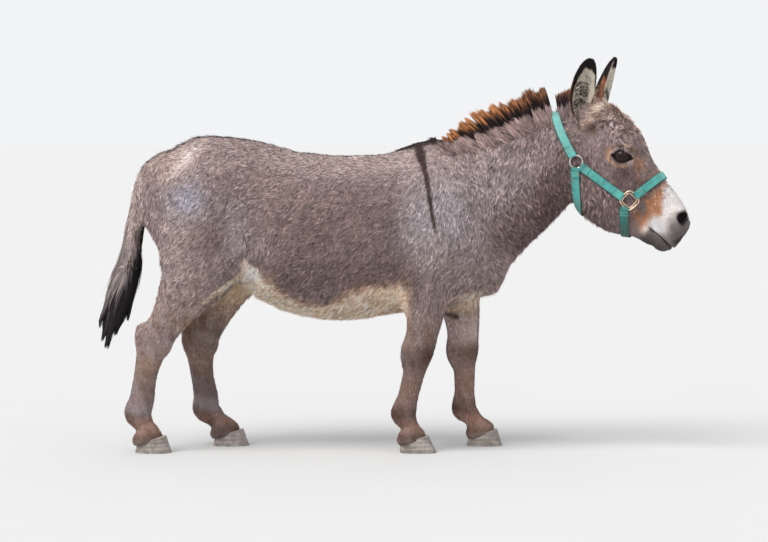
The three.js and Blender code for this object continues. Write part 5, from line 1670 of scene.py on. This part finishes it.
crest_rows = catmull(CREST, 8)


def crest_at(u):
    row = at_share(crest_rows, u)
    ahead = at_share(crest_rows, np.clip(u + 0.02, 0, 1))
    behind = at_share(crest_rows, np.clip(u - 0.02, 0, 1))
    along = unit(ahead[:, :3] - behind[:, :3])
    up = unit(columns(-along[:, 2], 0 * u, along[:, 0]))
    return row, along, up


MANE_TUFTS, MANE_WISPS, SIDE_WISPS = 13, 64, 40  # clumps of hair along the crest
MANE_LOCKS, SIDE_LOCKS, FIRST_LOCKS = 6000, 4200, 900
mane_coat = Coat("mane_locks", mane_material, "mane_hair")
count = MANE_LOCKS
u = rng.random(count)
row, along, up = crest_at(u)
off = rng.uniform(-1, 1, count)


def cells_of(u, off, number, seed):
    """Place across its tuft, -0.5 to 0.5, and four random numbers of that tuft."""
    at = u * number + 0.3 * np.sin(u * 2.3 * number) + 0.1 * off
    cell = np.floor(at)
    return at - cell - 0.5, hashed(columns(cell, cell * 0 + 3, cell * 0 + 7).astype(np.int64), seed)


inside, draw = cells_of(u, off, MANE_TUFTS, 4)
within, fine_draw = cells_of(u, off, MANE_WISPS, 8)
front = ramp(u, 0.45, 0.85)
tall = (
    row[:, 3] * (1.05 - 0.2 * np.abs(off) ** 2) * (1 - 1.5 * np.abs(inside) ** 3)
    * (0.93 + 0.14 * draw[:, 0])
)
tall = tall * (1 - 0.13 * fine_draw[:, 0] - 0.25 * np.abs(within) * fine_draw[:, 1])
tall = tall * (1 - rng.random(count) ** 2.5 * (0.24 + 0.16 * front))
back = tall * (0.4 - 0.3 * front) * ramp(u, 0.0, 0.1)
lean = (
    -inside * 9 - within * 4 + 8 * (draw[:, 1] - 0.5) + 5 * (fine_draw[:, 2] - 0.5)
    + rng.normal(0, 2 + 2 * front, count) - back
)
roots = (
    row[:, :3] + SIDEWAYS * (off * 15)[:, None] - up * (5 + 13 * off * off)[:, None]
    + along * (0.3 * back)[:, None]
)
tips = (
    row[:, :3] + SIDEWAYS * (off * 16 + rng.normal(0, 3, count))[:, None] + up * tall[:, None]
    + along * lean[:, None]
)
bends = mix(roots, tips, 0.5) + SIDEWAYS * (off * 4)[:, None] + along * (0.16 * back)[:, None]
tone = (1 + rng.normal(0, 0.15, count) + 0.3 * (fine_draw[:, 3] - 0.5))[:, None]
turns = (
    0.46 + 0.2 * fine_draw[:, 1] + 0.06 * front + rng.normal(0, 0.06, count)
    + 0.14 * ramp(np.abs(inside), 0.3, 0.5)
)
darker = rng.random(count) < 0.2 + 0.3 * front
lit = mix(many(vec(202, 132, 82), count), many(vec(176, 114, 80), count), front)
paints = []
for k in range(7):
    share = k / 6
    shade = mix(many(vec(40, 29, 30), count), lit, ramp(share, turns, turns + 0.26))
    # paler tips: painted highlight on the ends of the locks
    shade = mix(shade, many(vec(228, 168, 118), count), 0.55 * ramp(share, 0.82, 1) * (1 - 0.5 * front))
    paints.append(np.where(darker[:, None], shade * 0.42, shade) * tone)
locks(
    mane_coat, curve(roots, bends, tips, 6), along + 0.3 * rng.normal(size=along.shape),
    rng.uniform(1.8, 3.4, count), paints, columns(u, (off + 1) / 2)
)
# grey side hair that ends in points against the dark roots of the mane
count = SIDE_LOCKS
u = rng.uniform(0.0, 1, count)
row, along, up = crest_at(u)
way = np.where(rng.random(count) < 0.5, -1.0, 1.0)
inside, draw = cells_of(u, 0, SIDE_WISPS, 12)
front = ramp(u, 0.6, 0.9)
roots = onto(
    skin_distance, row[:, :3] + SIDEWAYS * (way * rng.uniform(16, 40, count))[:, None]
    - up * (14 + 42 * rng.random(count) ** 1.5)[:, None]
)
reach = rng.uniform(18, 38, count) + 12 * draw[:, 0]
aim = unit(
    up - along * (0.6 - 0.4 * front + 0.8 * (draw[:, 1] - 0.5))[:, None]
    + 0.16 * rng.normal(size=roots.shape)
)
tips = roots + aim * reach[:, None]
cap = (
    row[:, 2] + 12 * front + 34 * (draw[:, 2] - 0.5) + rng.uniform(-5, 5, count)
    + 14 * rng.random(count) ** 4
)
over = np.clip(tips[:, 2] - cap, 0, 60)
tips = tips - aim * over[:, None] - along * (inside * 12)[:, None]
side_out = np.clip(20 - np.abs(tips[:, 1] - row[:, 1]), 0, 14)
tips[:, 1] += way * np.where(tips[:, 2] > row[:, 2] - 22, side_out * 0.6, 0)
bends = mix(roots, tips, 0.5) + SIDEWAYS * (way * 5)[:, None]
tone = (1 + rng.normal(0, 0.17, count) + 0.36 * (draw[:, 3] - 0.5))[:, None]
keep = norm(tips - roots) > 8
tone = tone[keep]
n_keep = int(keep.sum())
locks(
    mane_coat, curve(roots[keep], bends[keep], tips[keep], 3), along[keep], rng.uniform(1.2, 2.1, n_keep),
    shades(
        [
            (0, many(DUN - vec(12, 16, 16), n_keep) * tone),
            (1, np.tile(mix(DUN, CREAM, 0.35) + vec(2, -3, 0), (n_keep, 1)) * tone)
        ],
        3
    ),
    columns(u[keep], (way[keep] + 1) / 2)
)
# a dark wisp where the mane begins
count = FIRST_LOCKS
x = rng.uniform(10, 205, count)
roots = onto(skin_distance, columns(x, rng.normal(0, 9, count), 918 + 0 * x), 3) - (0, 0, 3)
rise = (
    (3 + 5 * ramp(x, 50, 110) + 16 * bump(x, 127, 11) * rng.random(count) ** 0.6)
    * rng.uniform(0.6, 1, count)
)
tips = (
    roots
    + columns(rng.normal(-10, 5, count) - 0.4 * (x - 127) * bump(x, 127, 14), rng.normal(0, 3, count), rise)
)
tone = tones(0.15, count) * vec(54, 42, 40)
locks(
    mane_coat, curve(roots, (roots + tips) / 2 + (0, 0, 5), tips, 3), many(vec(1, 0.3, 0), count),
    rng.uniform(2, 3.4, count), shades([(0, tone), (1, tone * 1.2)], 3), np.tile([0.001, 0.5], (count, 1))
)
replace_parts(mane_coat.make(), "mane")

# ------------------------------------------------------------------ forelock
FORELOCK = [  # x, y, z of the root, lean forward in degrees, length
    (500, -16, 1016, -8, 62), (514, -22, 1023, -3, 66), (530, -12, 1031, 2, 66), (546, -26, 1039, 6, 60),
    (562, -16, 1045, 12, 54), (578, -26, 1049, 20, 46),
]
FORELOCK_LOCKS, FOOT_LOCKS = 2400, 1100
fore_coat = Coat("forelock_locks", mane_material, "mane_hair")
rows6 = catmull(FORELOCK, 6)
count = FORELOCK_LOCKS
u = rng.random(count)
row = at_share(rows6, u)
lean = np.radians(row[:, 3] + rng.normal(0, 7, count))
side = rng.uniform(-1, 1, count)
deep = 14 + 16 * side * side + 8 * (1 - u)
roots = row[:, :3] + columns(rng.normal(0, 3, count), side * 17, -deep)
tall = row[:, 4] * rng.uniform(0.62, 1.0, count) * (1 - 0.12 * np.abs(side))
tips = (
    row[:, :3]
    + columns(tall * np.sin(lean), side * 15 + rng.normal(0, 3, count), tall * np.cos(lean) * 0.9)
)
bends = mix(roots, tips, 0.5) + columns(-2 + 0 * u, side * 3, 5 + 0 * u)
tone = tones(0.14, count)
tip_colour = np.where((rng.random(count) < 0.35)[:, None], vec(70, 50, 46), vec(206, 136, 94))
base_colour = many(vec(118, 98, 100), count)
mid_colour = many(vec(54, 40, 44), count)
locks(
    fore_coat, curve(roots, bends, tips, 6), many(vec(1, 0.2, 0), count) + 0.3
    * rng.normal(size=(count, 3)), rng.uniform(1.9, 3.4, count),
    shades(
        [
            (0, base_colour * tone), (0.3, base_colour * tone), (0.48, mid_colour * tone),
            (0.78, mid_colour * tone), (1, tip_colour * tone)
        ],
        6
    ),
    columns(u, (side + 1) / 2)
)
# grey hair round the foot of the forelock
count = FOOT_LOCKS
u = rng.uniform(0, 0.9, count)
row = at_share(rows6, u)
way = np.where(rng.random(count) < 0.5, -1.0, 1.0)
roots = (
    row[:, :3]
    + columns(rng.normal(-4, 8, count), way * rng.uniform(14, 30, count), -rng.uniform(20, 46, count))
)
tips = (
    roots + columns(rng.normal(-4, 4, count), way * rng.uniform(-6, 2, count), rng.uniform(18, 40, count))
)
tone = tones(0.1, count)
locks(
    fore_coat, curve(roots, (roots + tips) / 2 + columns(0 * u, way * 4, 0 * u), tips, 3),
    many(vec(1, 0.1, 0), count), rng.uniform(1.6, 2.6, count),
    shades([(0, (DUN - 8) * tone), (1, (DUN + 8) * tone)], 3), columns(u, (way + 1) / 2)
)
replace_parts(fore_coat.make(), "forelock")

# ------------------------------------------------------------------ tail switch
TAIL = [  # z, x of the middle, half width
    (300, -862, 10), (350, -850, 29), (386, -839, 43), (471, -817, 51), (558, -793, 43),
    (640, -780, 32), (720, -768, 26),
]
TAIL_ENDS = [  # place across the tail, -1 at its rear edge, and height of the tip
    (-1.35, 428), (-1.05, 362), (-0.62, 322), (-0.2, 303), (0.1, 300), (0.5, 340), (0.95, 384),
]
tail_rows = np.array(TAIL, float)
tail_ends = np.array(TAIL_ENDS)


def tail_at(z, column):
    return np.interp(z, tail_rows[:, 0], tail_rows[:, column])


tail_coat = Coat("tail_locks", tail_material, "tail_hair")
TAIL_LOCKS, TAIL_SEGMENTS = 5200, 7
TAIL_ROOTS = (400, 740)  # lowest and highest root
count, segments = TAIL_LOCKS, TAIL_SEGMENTS
turn = rng.uniform(0, 2 * np.pi, count)
depth = np.sqrt(rng.random(count))
across, through = np.cos(turn) * depth, np.sin(turn) * depth
root_z = rng.uniform(*TAIL_ROOTS, count)
end = np.argmin(np.abs(across[:, None] + rng.normal(0, 0.12, (count, 1)) - tail_ends[None, :, 0]), 1)
tip_z = np.maximum(root_z - rng.uniform(110, 200, count), tail_ends[end, 1] + rng.uniform(0, 26, count))
line = []
for k in range(segments + 1):
    f = k / segments
    z = root_z + (tip_z - root_z) * f
    gather = ramp(tail_ends[end, 1] + 110 - z, 0, 110) * 0.8
    a = mix(across * (0.62 + 0.38 * f), tail_ends[end, 0], gather)
    middle, half = tail_at(z, 1), tail_at(z, 2)
    half = np.maximum(half, tail_at(tail_ends[end, 1] + 60, 2) * 0.75)
    wave = 2.5 * np.sin(z / 26 + turn * 3)
    line.append(
        columns(
            middle + half * a + wave,
            0.62 * half * through * (0.7 + 0.3 * f) * (1 - 0.5 * gather) + 0.4 * wave, z
        )
    )
pale = ramp(-across + 0.42 - 1.7 * ramp(-root_z, -620, -480) + 0.2 * rng.normal(size=count), -0.1, 0.5)
tone = tones(0.12, count)
black, tan = many(vec(36, 31, 34), count), many(vec(160, 146, 142), count)
root_colour, tip_colour = mix(black, tan, pale), mix(black * 0.86, tan * 0.92, pale * 0.8)
locks(
    tail_coat, line, columns(-np.sin(turn), np.cos(turn), 0 * turn), rng.uniform(2.2, 4.8, count),
    shades([(0, root_colour * tone), (1, tip_colour * tone)], segments),
    columns(turn / (2 * np.pi), (root_z - TAIL_ROOTS[0]) / (TAIL_ROOTS[1] - TAIL_ROOTS[0]))
)
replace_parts(tail_coat.make(), "tail_switch")


# ------------------------------------------------------------------ eyes
def eye_material():
    n = Nodes("eye")
    paint_node = n.add("Attribute", attribute_name="Markings").outputs["Color"]
    spot = n.place()
    streak = n.noise(spot, 900, 3, 0.6)
    shade = n.span(streak, 0.3, 0.7, 0.6, 1.5)
    colour = n.shaded(paint_node, shade)
    n.set(Base_Color=colour, Roughness=n.span(streak, 0.3, 0.7, 0.07, 0.11), Specular_IOR_Level=0.16)
    return n.material


eye_look = eye_material()
EYE_RINGS, EYE_AROUND = 40, 64
for name, way in SIDES.items():
    centre = from_head((EYE["s"], way * EYE["y"], EYE["t"]))
    ahead = head_way(0.12, way * 0.985, 0.08)
    lid_turn = math.radians(LID["turn"])
    long_way = head_way(math.cos(lid_turn), 0, math.sin(lid_turn))
    long_way = unit(long_way - ahead * (long_way @ ahead))
    tall_way = np.cross(ahead, long_way)
    rings, around = EYE_RINGS, EYE_AROUND
    polar = np.linspace(0, np.pi, rings)
    theta = np.linspace(0, 2 * np.pi, around, endpoint=False)
    g_p, g_t = (a.ravel() for a in np.meshgrid(polar, theta, indexing="ij"))
    radius = EYE["r"] + 0.9 * (1 - ramp(g_p, 0.0, 0.55))
    a, b = np.sin(g_p) * np.cos(g_t), np.sin(g_p) * np.sin(g_t)
    v = (
        centre
        + radius[:, None] * (a[:, None] * long_way + b[:, None] * tall_way + np.cos(g_p)[:, None] * ahead)
    )
    iris = np.sqrt((a / 0.84) ** 2 + (b / 0.74) ** 2)
    pupil = np.sqrt((a / 0.46) ** 2 + ((b - 0.06) / 0.26) ** 2)
    c = many(vec(30, 24, 26), len(v))
    c = mix(c, vec(14, 11, 12), 1 - ramp(iris, 0.98, 1.08))
    c = mix(c, vec(46, 31, 28), (1 - ramp(iris, 0.6, 0.94)))
    c = mix(c, vec(44, 28, 24), bump(iris, 0.7, 0.15) * 0.6)
    c = mix(c, vec(24, 17, 17), 0.7 * (1 - ramp(pupil, 0.7, 1.2)))
    ball_obj = mesh_object(
        f"eyeball_{name}", v, ring_faces(rings, around)[:, ::-1], eye_look, "eye", colours=linear(c)
    )
    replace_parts(ball_obj, f"eye_{name}")

# ------------------------------------------------------------------ hooves
def horn_material():
    n = Nodes("hoof_horn")
    spot = n.place()
    parts = n.add("SeparateXYZ", {0: spot})
    height = parts.outputs[2]
    grain = n.noise(n.place((1, 1, 0.12)), 260, 4, 0.6)
    patches = n.noise(spot, 45, 3, 0.6)
    wobble = n.maths("ADD", n.maths("MULTIPLY", height, 520.0), n.maths("MULTIPLY", patches, 6.0))
    rings = n.maths("SINE", wobble)
    base = n.blend(coloured(158, 150, 144), coloured(118, 108, 102), n.span(patches, 0.35, 0.65, 0.0, 1.0))
    base = n.blend(base, coloured(196, 188, 180), n.span(grain, 0.55, 0.75, 0.0, 0.4))
    base = n.blend(base, coloured(70, 60, 54), n.span(rings, 0.4, 1.0, 0.0, 0.18))
    n.set(Base_Color=base, Roughness=n.span(grain, 0.3, 0.7, 0.55, 0.8))
    n.relief(n.maths("ADD", n.maths("MULTIPLY", rings, 0.4), grain), 0.7, 0.0016)
    return n.material


horn_look = horn_material()
HOOF_RINGS, HOOF_AROUND = 22, 72
for name, under in HOOVES.items():
    ahead = HOOF_AHEAD[name]
    rings, around = HOOF_RINGS, HOOF_AROUND
    turn = np.linspace(0, 2 * np.pi, around, endpoint=False)

    def rim(size, centre, heel_share=0.94):
        long, wide = size
        heel = np.where(np.cos(turn) < 0, heel_share, 1)
        return columns(
            centre[0] + long * np.cos(turn) * heel,
            centre[1] + wide * np.sin(turn) * (0.94 + 0.06 * np.cos(turn)), 0 * turn + centre[2]
        )

    top = rim(HOOF["coronet"], under)
    top[:, 2] -= (top[:, 0] - under[0]) * CORONET_NORMAL[0] / CORONET_NORMAL[2]
    sole = rim(HOOF["sole"], under * (1, 1, 0) + vec(ahead, 0, 0), 1.08)
    levels = []
    middle = (top.mean(0) + sole.mean(0)) / 2
    for k in range(rings):
        f = k / (rings - 1)
        level = mix(top, sole, f)
        out_way = unit((level - level.mean(0)) * (1, 1, 0))
        groove = 0.35 * np.sin(f * 46 + 1.2 * np.sin(turn * 2 + under[0])) - 0.5
        heel_notch = 3.2 * bump(np.abs(turn - np.pi), 0, 0.22) * (1 - 0.4 * f)
        level = level + out_way * (groove - heel_notch)[:, None]
        chips = np.maximum(small_waves(level * 1.7), 0) * 2.0 * ramp(f, 0.82, 1.0)
        level[:, 2] += chips if k < rings - 1 else 0
        levels.append(level)
    levels.append(levels[-1] * (1, 1, 0) + (middle - levels[-1]) * (1, 1, 0) * 0.12)
    levels.append(np.repeat((levels[-1].mean(0) * (1, 1, 0) + (0, 0, 2.5))[None], around, 0))
    # a soft band under the hair closes the top
    inner = [
        mix(levels[0], levels[0].mean(0), g) + vec(0, 0, h) for g,
        h in ((0.99, 2.0), (0.5, 2.0), (0.12, 1.6), (0.03, 0.6))
    ]
    stack = np.concatenate(inner + levels)
    hoof = mesh_object(
        f"horn_{name}", stack, ring_faces(len(inner) + len(levels), around)[:, ::-1], horn_look, "hoof"
    )
    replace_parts(hoof, f"hoof_{name}")


# ------------------------------------------------------------------ halter
def side_path(way, steps):
    u = np.linspace(0, 1, steps + 1)
    st = np.array(CHEEK[0]) + (np.array(CHEEK[1]) - np.array(CHEEK[0])) * u[:, None]
    starts = from_head(columns(st[:, 0], 0 * u, st[:, 1]))
    return surface_on_ray(starts, np.repeat(head_way(0, way, 0)[None], len(u), 0))


def outwards(p):
    return unit(slope(body_form.at, p))


def reach(path, centre, stop):
    """Trims or extends the end of a path so that it stops short of a fitting's centre."""
    out = path[: np.nonzero(norm(path - centre) > stop)[0].max() + 1]
    while norm(out[-1] - centre) > stop + 2.5:
        step = unit((centre - out[-1])[None]) * 2.5
        out = np.concatenate([out, onto(body_form.at, out[-1:] + step)])
    return out


CLOTH_UNIT = 0.04  # the cloth's map has 25 mm to 1 unit
WEBBING = {"width": 25.0, "thick": 2.4, "lift": 2.4}
FOLD = {"width": 26.0, "thick": 2.2, "lift": 2.4, "long": 33}


def ribbon(name, path, size=WEBBING, slack=None, look=None):
    """A flat strap with rounded edges, laid along a path on the coat; its map runs in millimetres."""
    width, thick, lift = size["width"], size["thick"], size["lift"]
    lengths = np.concatenate([[0], np.cumsum(norm(np.diff(path, axis=0)))])
    ahead = np.concatenate([path[1:], path[-1:]])
    behind = np.concatenate([path[:1], path[:-1]])
    along = unit(ahead - behind)
    normal = outwards(path)
    across = unit(np.cross(normal, along))
    lanes = np.linspace(-1, 1, 11)
    top, under = [], []
    for lane in lanes:
        p = onto(body_form.at, path + across * (lane * width / 2))
        o = outwards(p)
        o = unit(mix(o, normal, 0.35))
        rise = lift + (0 if slack is None else slack)
        round_off = 0.5 * thick * (1 - np.sqrt(max(1 - abs(lane) ** 8, 0)))
        p = p + o * rise if np.ndim(rise) == 0 else p + o * rise[:, None]
        top.append(p + o * (thick - round_off))
        under.append(p + o * round_off)
    ring = np.stack(top + under[::-1], 1)
    n = ring.shape[1]
    vertices = ring.reshape(-1, 3)
    faces = ring_faces(len(path), n)
    caps = []
    m = len(lanes)
    for k in range(m - 1):
        caps.append((k, k + 1, n - 2 - k, n - 1 - k))
        e = (len(path) - 1) * n
        caps.append((e + k + 1, e + k, e + n - 1 - k, e + n - 2 - k))
    faces = np.concatenate([faces, np.array(caps)])
    u = np.tile(np.concatenate([(lanes + 1) / 2, (lanes[::-1] + 1) / 2]) * width * CLOTH_UNIT, len(path))
    uv = columns(u, np.repeat(lengths, n) * CLOTH_UNIT)
    obj = mesh_object(name, vertices, faces, look or webbing_look, "halter_webbing", uv=uv, uv_name="Cloth")
    return obj


def webbing_material(name, stitched):
    n = Nodes(name)
    uv = n.add("UVMap", uv_map="Cloth").outputs[0]
    parts = n.add("SeparateXYZ", {0: uv})
    across, along = parts.outputs[0], parts.outputs[1]
    lanes = n.maths("SINE", n.maths("MULTIPLY", across, 2 * math.pi * 17))
    picks = n.maths(
        "SINE",
        n.maths(
            "ADD", n.maths("MULTIPLY", along, 2 * math.pi * 20),
            n.maths("MULTIPLY", n.maths("SIGN", lanes), 1.57)
        )
    )
    weave = n.maths("MULTIPLY", n.maths("ABSOLUTE", lanes), picks)
    spot = n.place()
    height = n.add("SeparateXYZ", {0: spot}).outputs[2]
    worn = n.noise(spot, 34, 4, 0.65)
    fine = n.noise(spot, 700, 2, 0.6)
    teal = n.blend(coloured(82, 178, 170), coloured(56, 140, 136), n.span(worn, 0.35, 0.65, 0.0, 1.0))
    # painted light and shade: the webbing paler high up on the head, darker low down under the jaw
    teal = n.blend(teal, coloured(150, 214, 208), n.span(height, 0.84, 1.0, 0.0, 0.55))
    teal = n.blend(teal, coloured(28, 88, 78), n.span(height, 0.76, 0.67, 0.0, 0.95))
    teal = n.blend(teal, coloured(140, 206, 192), n.span(fine, 0.6, 0.8, 0.0, 0.5))
    dirt = n.noise(spot, 90, 5, 0.7)
    teal = n.blend(teal, coloured(128, 138, 108), n.span(dirt, 0.53, 0.74, 0.0, 0.85))
    edge = n.maths("ABSOLUTE", n.maths("SUBTRACT", across, 0.5))
    teal = n.blend(teal, coloured(34, 96, 96), n.span(edge, 0.42, 0.5, 0.0, 0.75))
    if stitched:  # two rows of stitches across the turned-back end
        for row in (0.2, 0.5):
            near = n.maths("ABSOLUTE", n.maths("SUBTRACT", along, row))
            dash = n.span(
                n.maths("SINE", n.maths("MULTIPLY", across, 2 * math.pi * 9)), -0.4, 0.0, 0.0, 1.0
            )
            teal = n.blend(
                teal, coloured(160, 216, 200),
                n.maths("MULTIPLY", n.span(near, 0.035, 0.02, 0.0, 0.8), dash)
            )
    shade = n.span(weave, -1, 1, 0.8, 1.1)
    teal = n.shaded(teal, shade)
    n.set(Base_Color=teal, Roughness=n.span(worn, 0.3, 0.7, 0.78, 0.9), Sheen_Weight=0.2)
    n.relief(n.maths("ADD", weave, n.maths("MULTIPLY", fine, 0.6)), 0.55, 0.0009)
    return n.material


webbing_look = webbing_material("halter_webbing", False)
fold_look = webbing_material("halter_fold", True)
straps = {}


def fitting_centre(spec, way):
    at = spec["at"]
    return surface_on_ray(from_head((at[0], 0, at[1])), head_way(0, way, 0))[0]


def fold(name, path, centre, radius):
    """The end of a strap turned back over the wire of a fitting and stitched down."""
    back = np.cumsum(np.concatenate([[0], norm(np.diff(path[::-1], axis=0))]))
    part = path[::-1][back < FOLD["long"]][::-1]
    from_wire = norm(part - centre) - radius
    slack = 2.6 + 4.4 * bump(from_wire, 1, 6) - 3.5 * ramp(-from_wire, 3, 6)
    ribbon(name, part, FOLD, slack, fold_look)


def fit(name, path, fittings):
    """A strap whose ends are taken to its fittings: (at the start, at the end)."""
    for spec, way in fittings[::-1]:
        centre = fitting_centre(spec, way)
        radius = spec["radius"] * (1.0 if spec is RING else SQUARE_FLAT)
        path = reach(path, centre, radius - 4)
        fold(f"fold_{name}_{len(straps)}_{'r' if way == RIGHT else 'l'}", path, centre, radius)
        path = path[::-1]
    straps[name] = ribbon(f"strap_{name}", path)
    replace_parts(straps[name], f"halter_{name}")


def side_of_end(path, which):
    return RIGHT if to_head(path[which][None])[0, 1] < 0 else LEFT


for name, spec, steps, fitting in (
    ("crown", CROWN, 84, RING), ("throat", THROAT, 76, RING),
    ("noseband", NOSEBAND, 70, SQUARE), ("chin", CHIN, 60, SQUARE),
):
    path = over_path(spec, steps)
    fit(name, path, [(fitting, side_of_end(path, 0)), (fitting, side_of_end(path, -1))])
for name, way in SIDES.items():
    fit("cheek_" + name, side_path(way, 36), [(RING, way), (SQUARE, way)])


def metal_material(name, colour, dark, rough):
    n = Nodes(name)
    spot = n.place()
    wear = n.noise(spot, 160, 4, 0.65)
    n.set(
        Base_Color=n.blend(coloured(*colour), coloured(*dark), n.span(wear, 0.45, 0.7, 0.0, 1.0)),
        Metallic=1.0, Roughness=n.span(wear, 0.3, 0.7, rough, rough + 0.22),
    )
    n.relief(wear, 0.12, 0.0006)
    return n.material


steel_look = metal_material("ring_steel", (226, 224, 222), (150, 144, 138), 0.2)
brass_look = metal_material("square_brass", (226, 204, 180), (158, 126, 100), 0.26)


def wire_loop(name, points, radius, look, slot):
    """A closed round wire through points."""
    sides = 14
    points = np.asarray(points)
    along = unit(np.roll(points, -1, 0) - np.roll(points, 1, 0))
    middle = points.mean(0)
    flat = unit(np.cross(points[0] - middle, points[len(points) // 4] - middle))
    out = unit(np.cross(along, np.repeat(flat[None], len(points), 0)))
    turn = np.linspace(0, 2 * np.pi, sides, endpoint=False)
    ring = (
        points[:, None]
        + radius * (out[:, None] * np.cos(turn)[None, :, None] + flat * np.sin(turn)[None, :, None])
    )
    return mesh_object(name, ring.reshape(-1, 3), ring_faces(len(points), sides, True), look, slot)


def fitting_frame(way, spec):
    centre = fitting_centre(spec, way)
    normal = outwards(centre[None])[0]
    lifted = centre + normal * (STRAP_LIFT + spec["wire"] + 2)
    x_way = unit(head_way(1, 0, 0) - normal * (head_way(1, 0, 0) @ normal))
    return lifted, x_way, np.cross(normal, x_way), normal


for name, way in SIDES.items():
    centre, x_way, y_way, normal = fitting_frame(way, RING)
    turn = np.linspace(0, 2 * np.pi, 64, endpoint=False)
    circle = centre + RING["radius"] * (np.cos(turn)[:, None] * x_way + np.sin(turn)[:, None] * y_way)
    ring = wire_loop(f"ring_{name}", circle, RING["wire"], steel_look, "halter_steel")
    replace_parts(ring, f"halter_ring_{name}")
    centre, x_way, y_way, normal = fitting_frame(way, SQUARE)
    for part, power, size, turned, wire in (("outer", 3.6, 0.86, 8, 2.6), ("inner", 5.0, 0.62, 14, 2.0)):
        far = (
            SQUARE["radius"] * size
            * (np.abs(np.cos(turn)) ** power + np.abs(np.sin(turn)) ** power) ** (-1 / power)
        )
        tilt = turn + math.radians(turned)
        frame_line = centre + far[:, None] * (np.cos(tilt)[:, None] * x_way + np.sin(tilt)[:, None] * y_way)
        square = wire_loop(f"square_{part}_{name}", frame_line, wire, brass_look, "halter_brass")
        if part == "outer":
            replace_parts(square, f"halter_square_{name}")

# ------------------------------------------------------------------ stage, lights, camera
def floor_material():
    n = Nodes("studio_floor")
    patch = n.noise(n.place(), 2.0, 3, 0.5)
    n.set(Base_Color=n.blend(grey(0.515), grey(0.535), patch), Roughness=0.9, Specular_IOR_Level=0.1)
    return n.material


FLOOR_REACH = 60.0
floor_corners = [(a * FLOOR_REACH, b * FLOOR_REACH, 0) for a, b in ((-1, -1), (1, -1), (1, 1), (-1, 1))]
me = bpy.data.meshes.new("floor")
me.from_pydata(floor_corners, [], [(0, 1, 2, 3)])
me.materials.append(floor_material())
floor = bpy.data.objects.new("floor", me)
scene.collection.objects.link(floor)

world = bpy.data.worlds.new("studio")
scene.world = world
world.use_nodes = True
background = world.node_tree.nodes["Background"]
background.inputs["Color"].default_value = (0.97, 0.98, 1.0, 1)
background.inputs["Strength"].default_value = 0.92
scene.view_settings.view_transform = "Standard"
scene.view_settings.look = "None"


def sun_light(name, place, strength, angle, colour):
    data = bpy.data.lights.new(name, "SUN")
    data.energy, data.angle, data.color = strength, math.radians(angle), colour
    obj = bpy.data.objects.new(name, data)
    scene.collection.objects.link(obj)
    obj.location = place
    obj.rotation_euler = (-Vector(place)).to_track_quat("-Z", "Y").to_euler()


sun_light("sky_window", (-3.0, -3.2, 6.0), strength=3.1, angle=40, colour=(1, 0.985, 0.965))

SENSOR = 36
PHOTO_WIDTH, FOCAL_PIXELS, TILT_PIXELS = 768, 3000, 171  # the photo's pixels
CAMERA_SPOT = vec(-27, -9000, 1050)
camera = bpy.data.objects.new("camera", bpy.data.cameras.new("camera"))
scene.collection.objects.link(camera)
camera.data.sensor_width = SENSOR
camera.data.lens = FOCAL_PIXELS / PHOTO_WIDTH * SENSOR
camera.data.clip_end = 100
camera.location = (CAMERA_SPOT + SHIFT) * MM
camera.rotation_euler = (math.radians(90) - math.atan(TILT_PIXELS / FOCAL_PIXELS), 0, 0)
scene.camera = camera
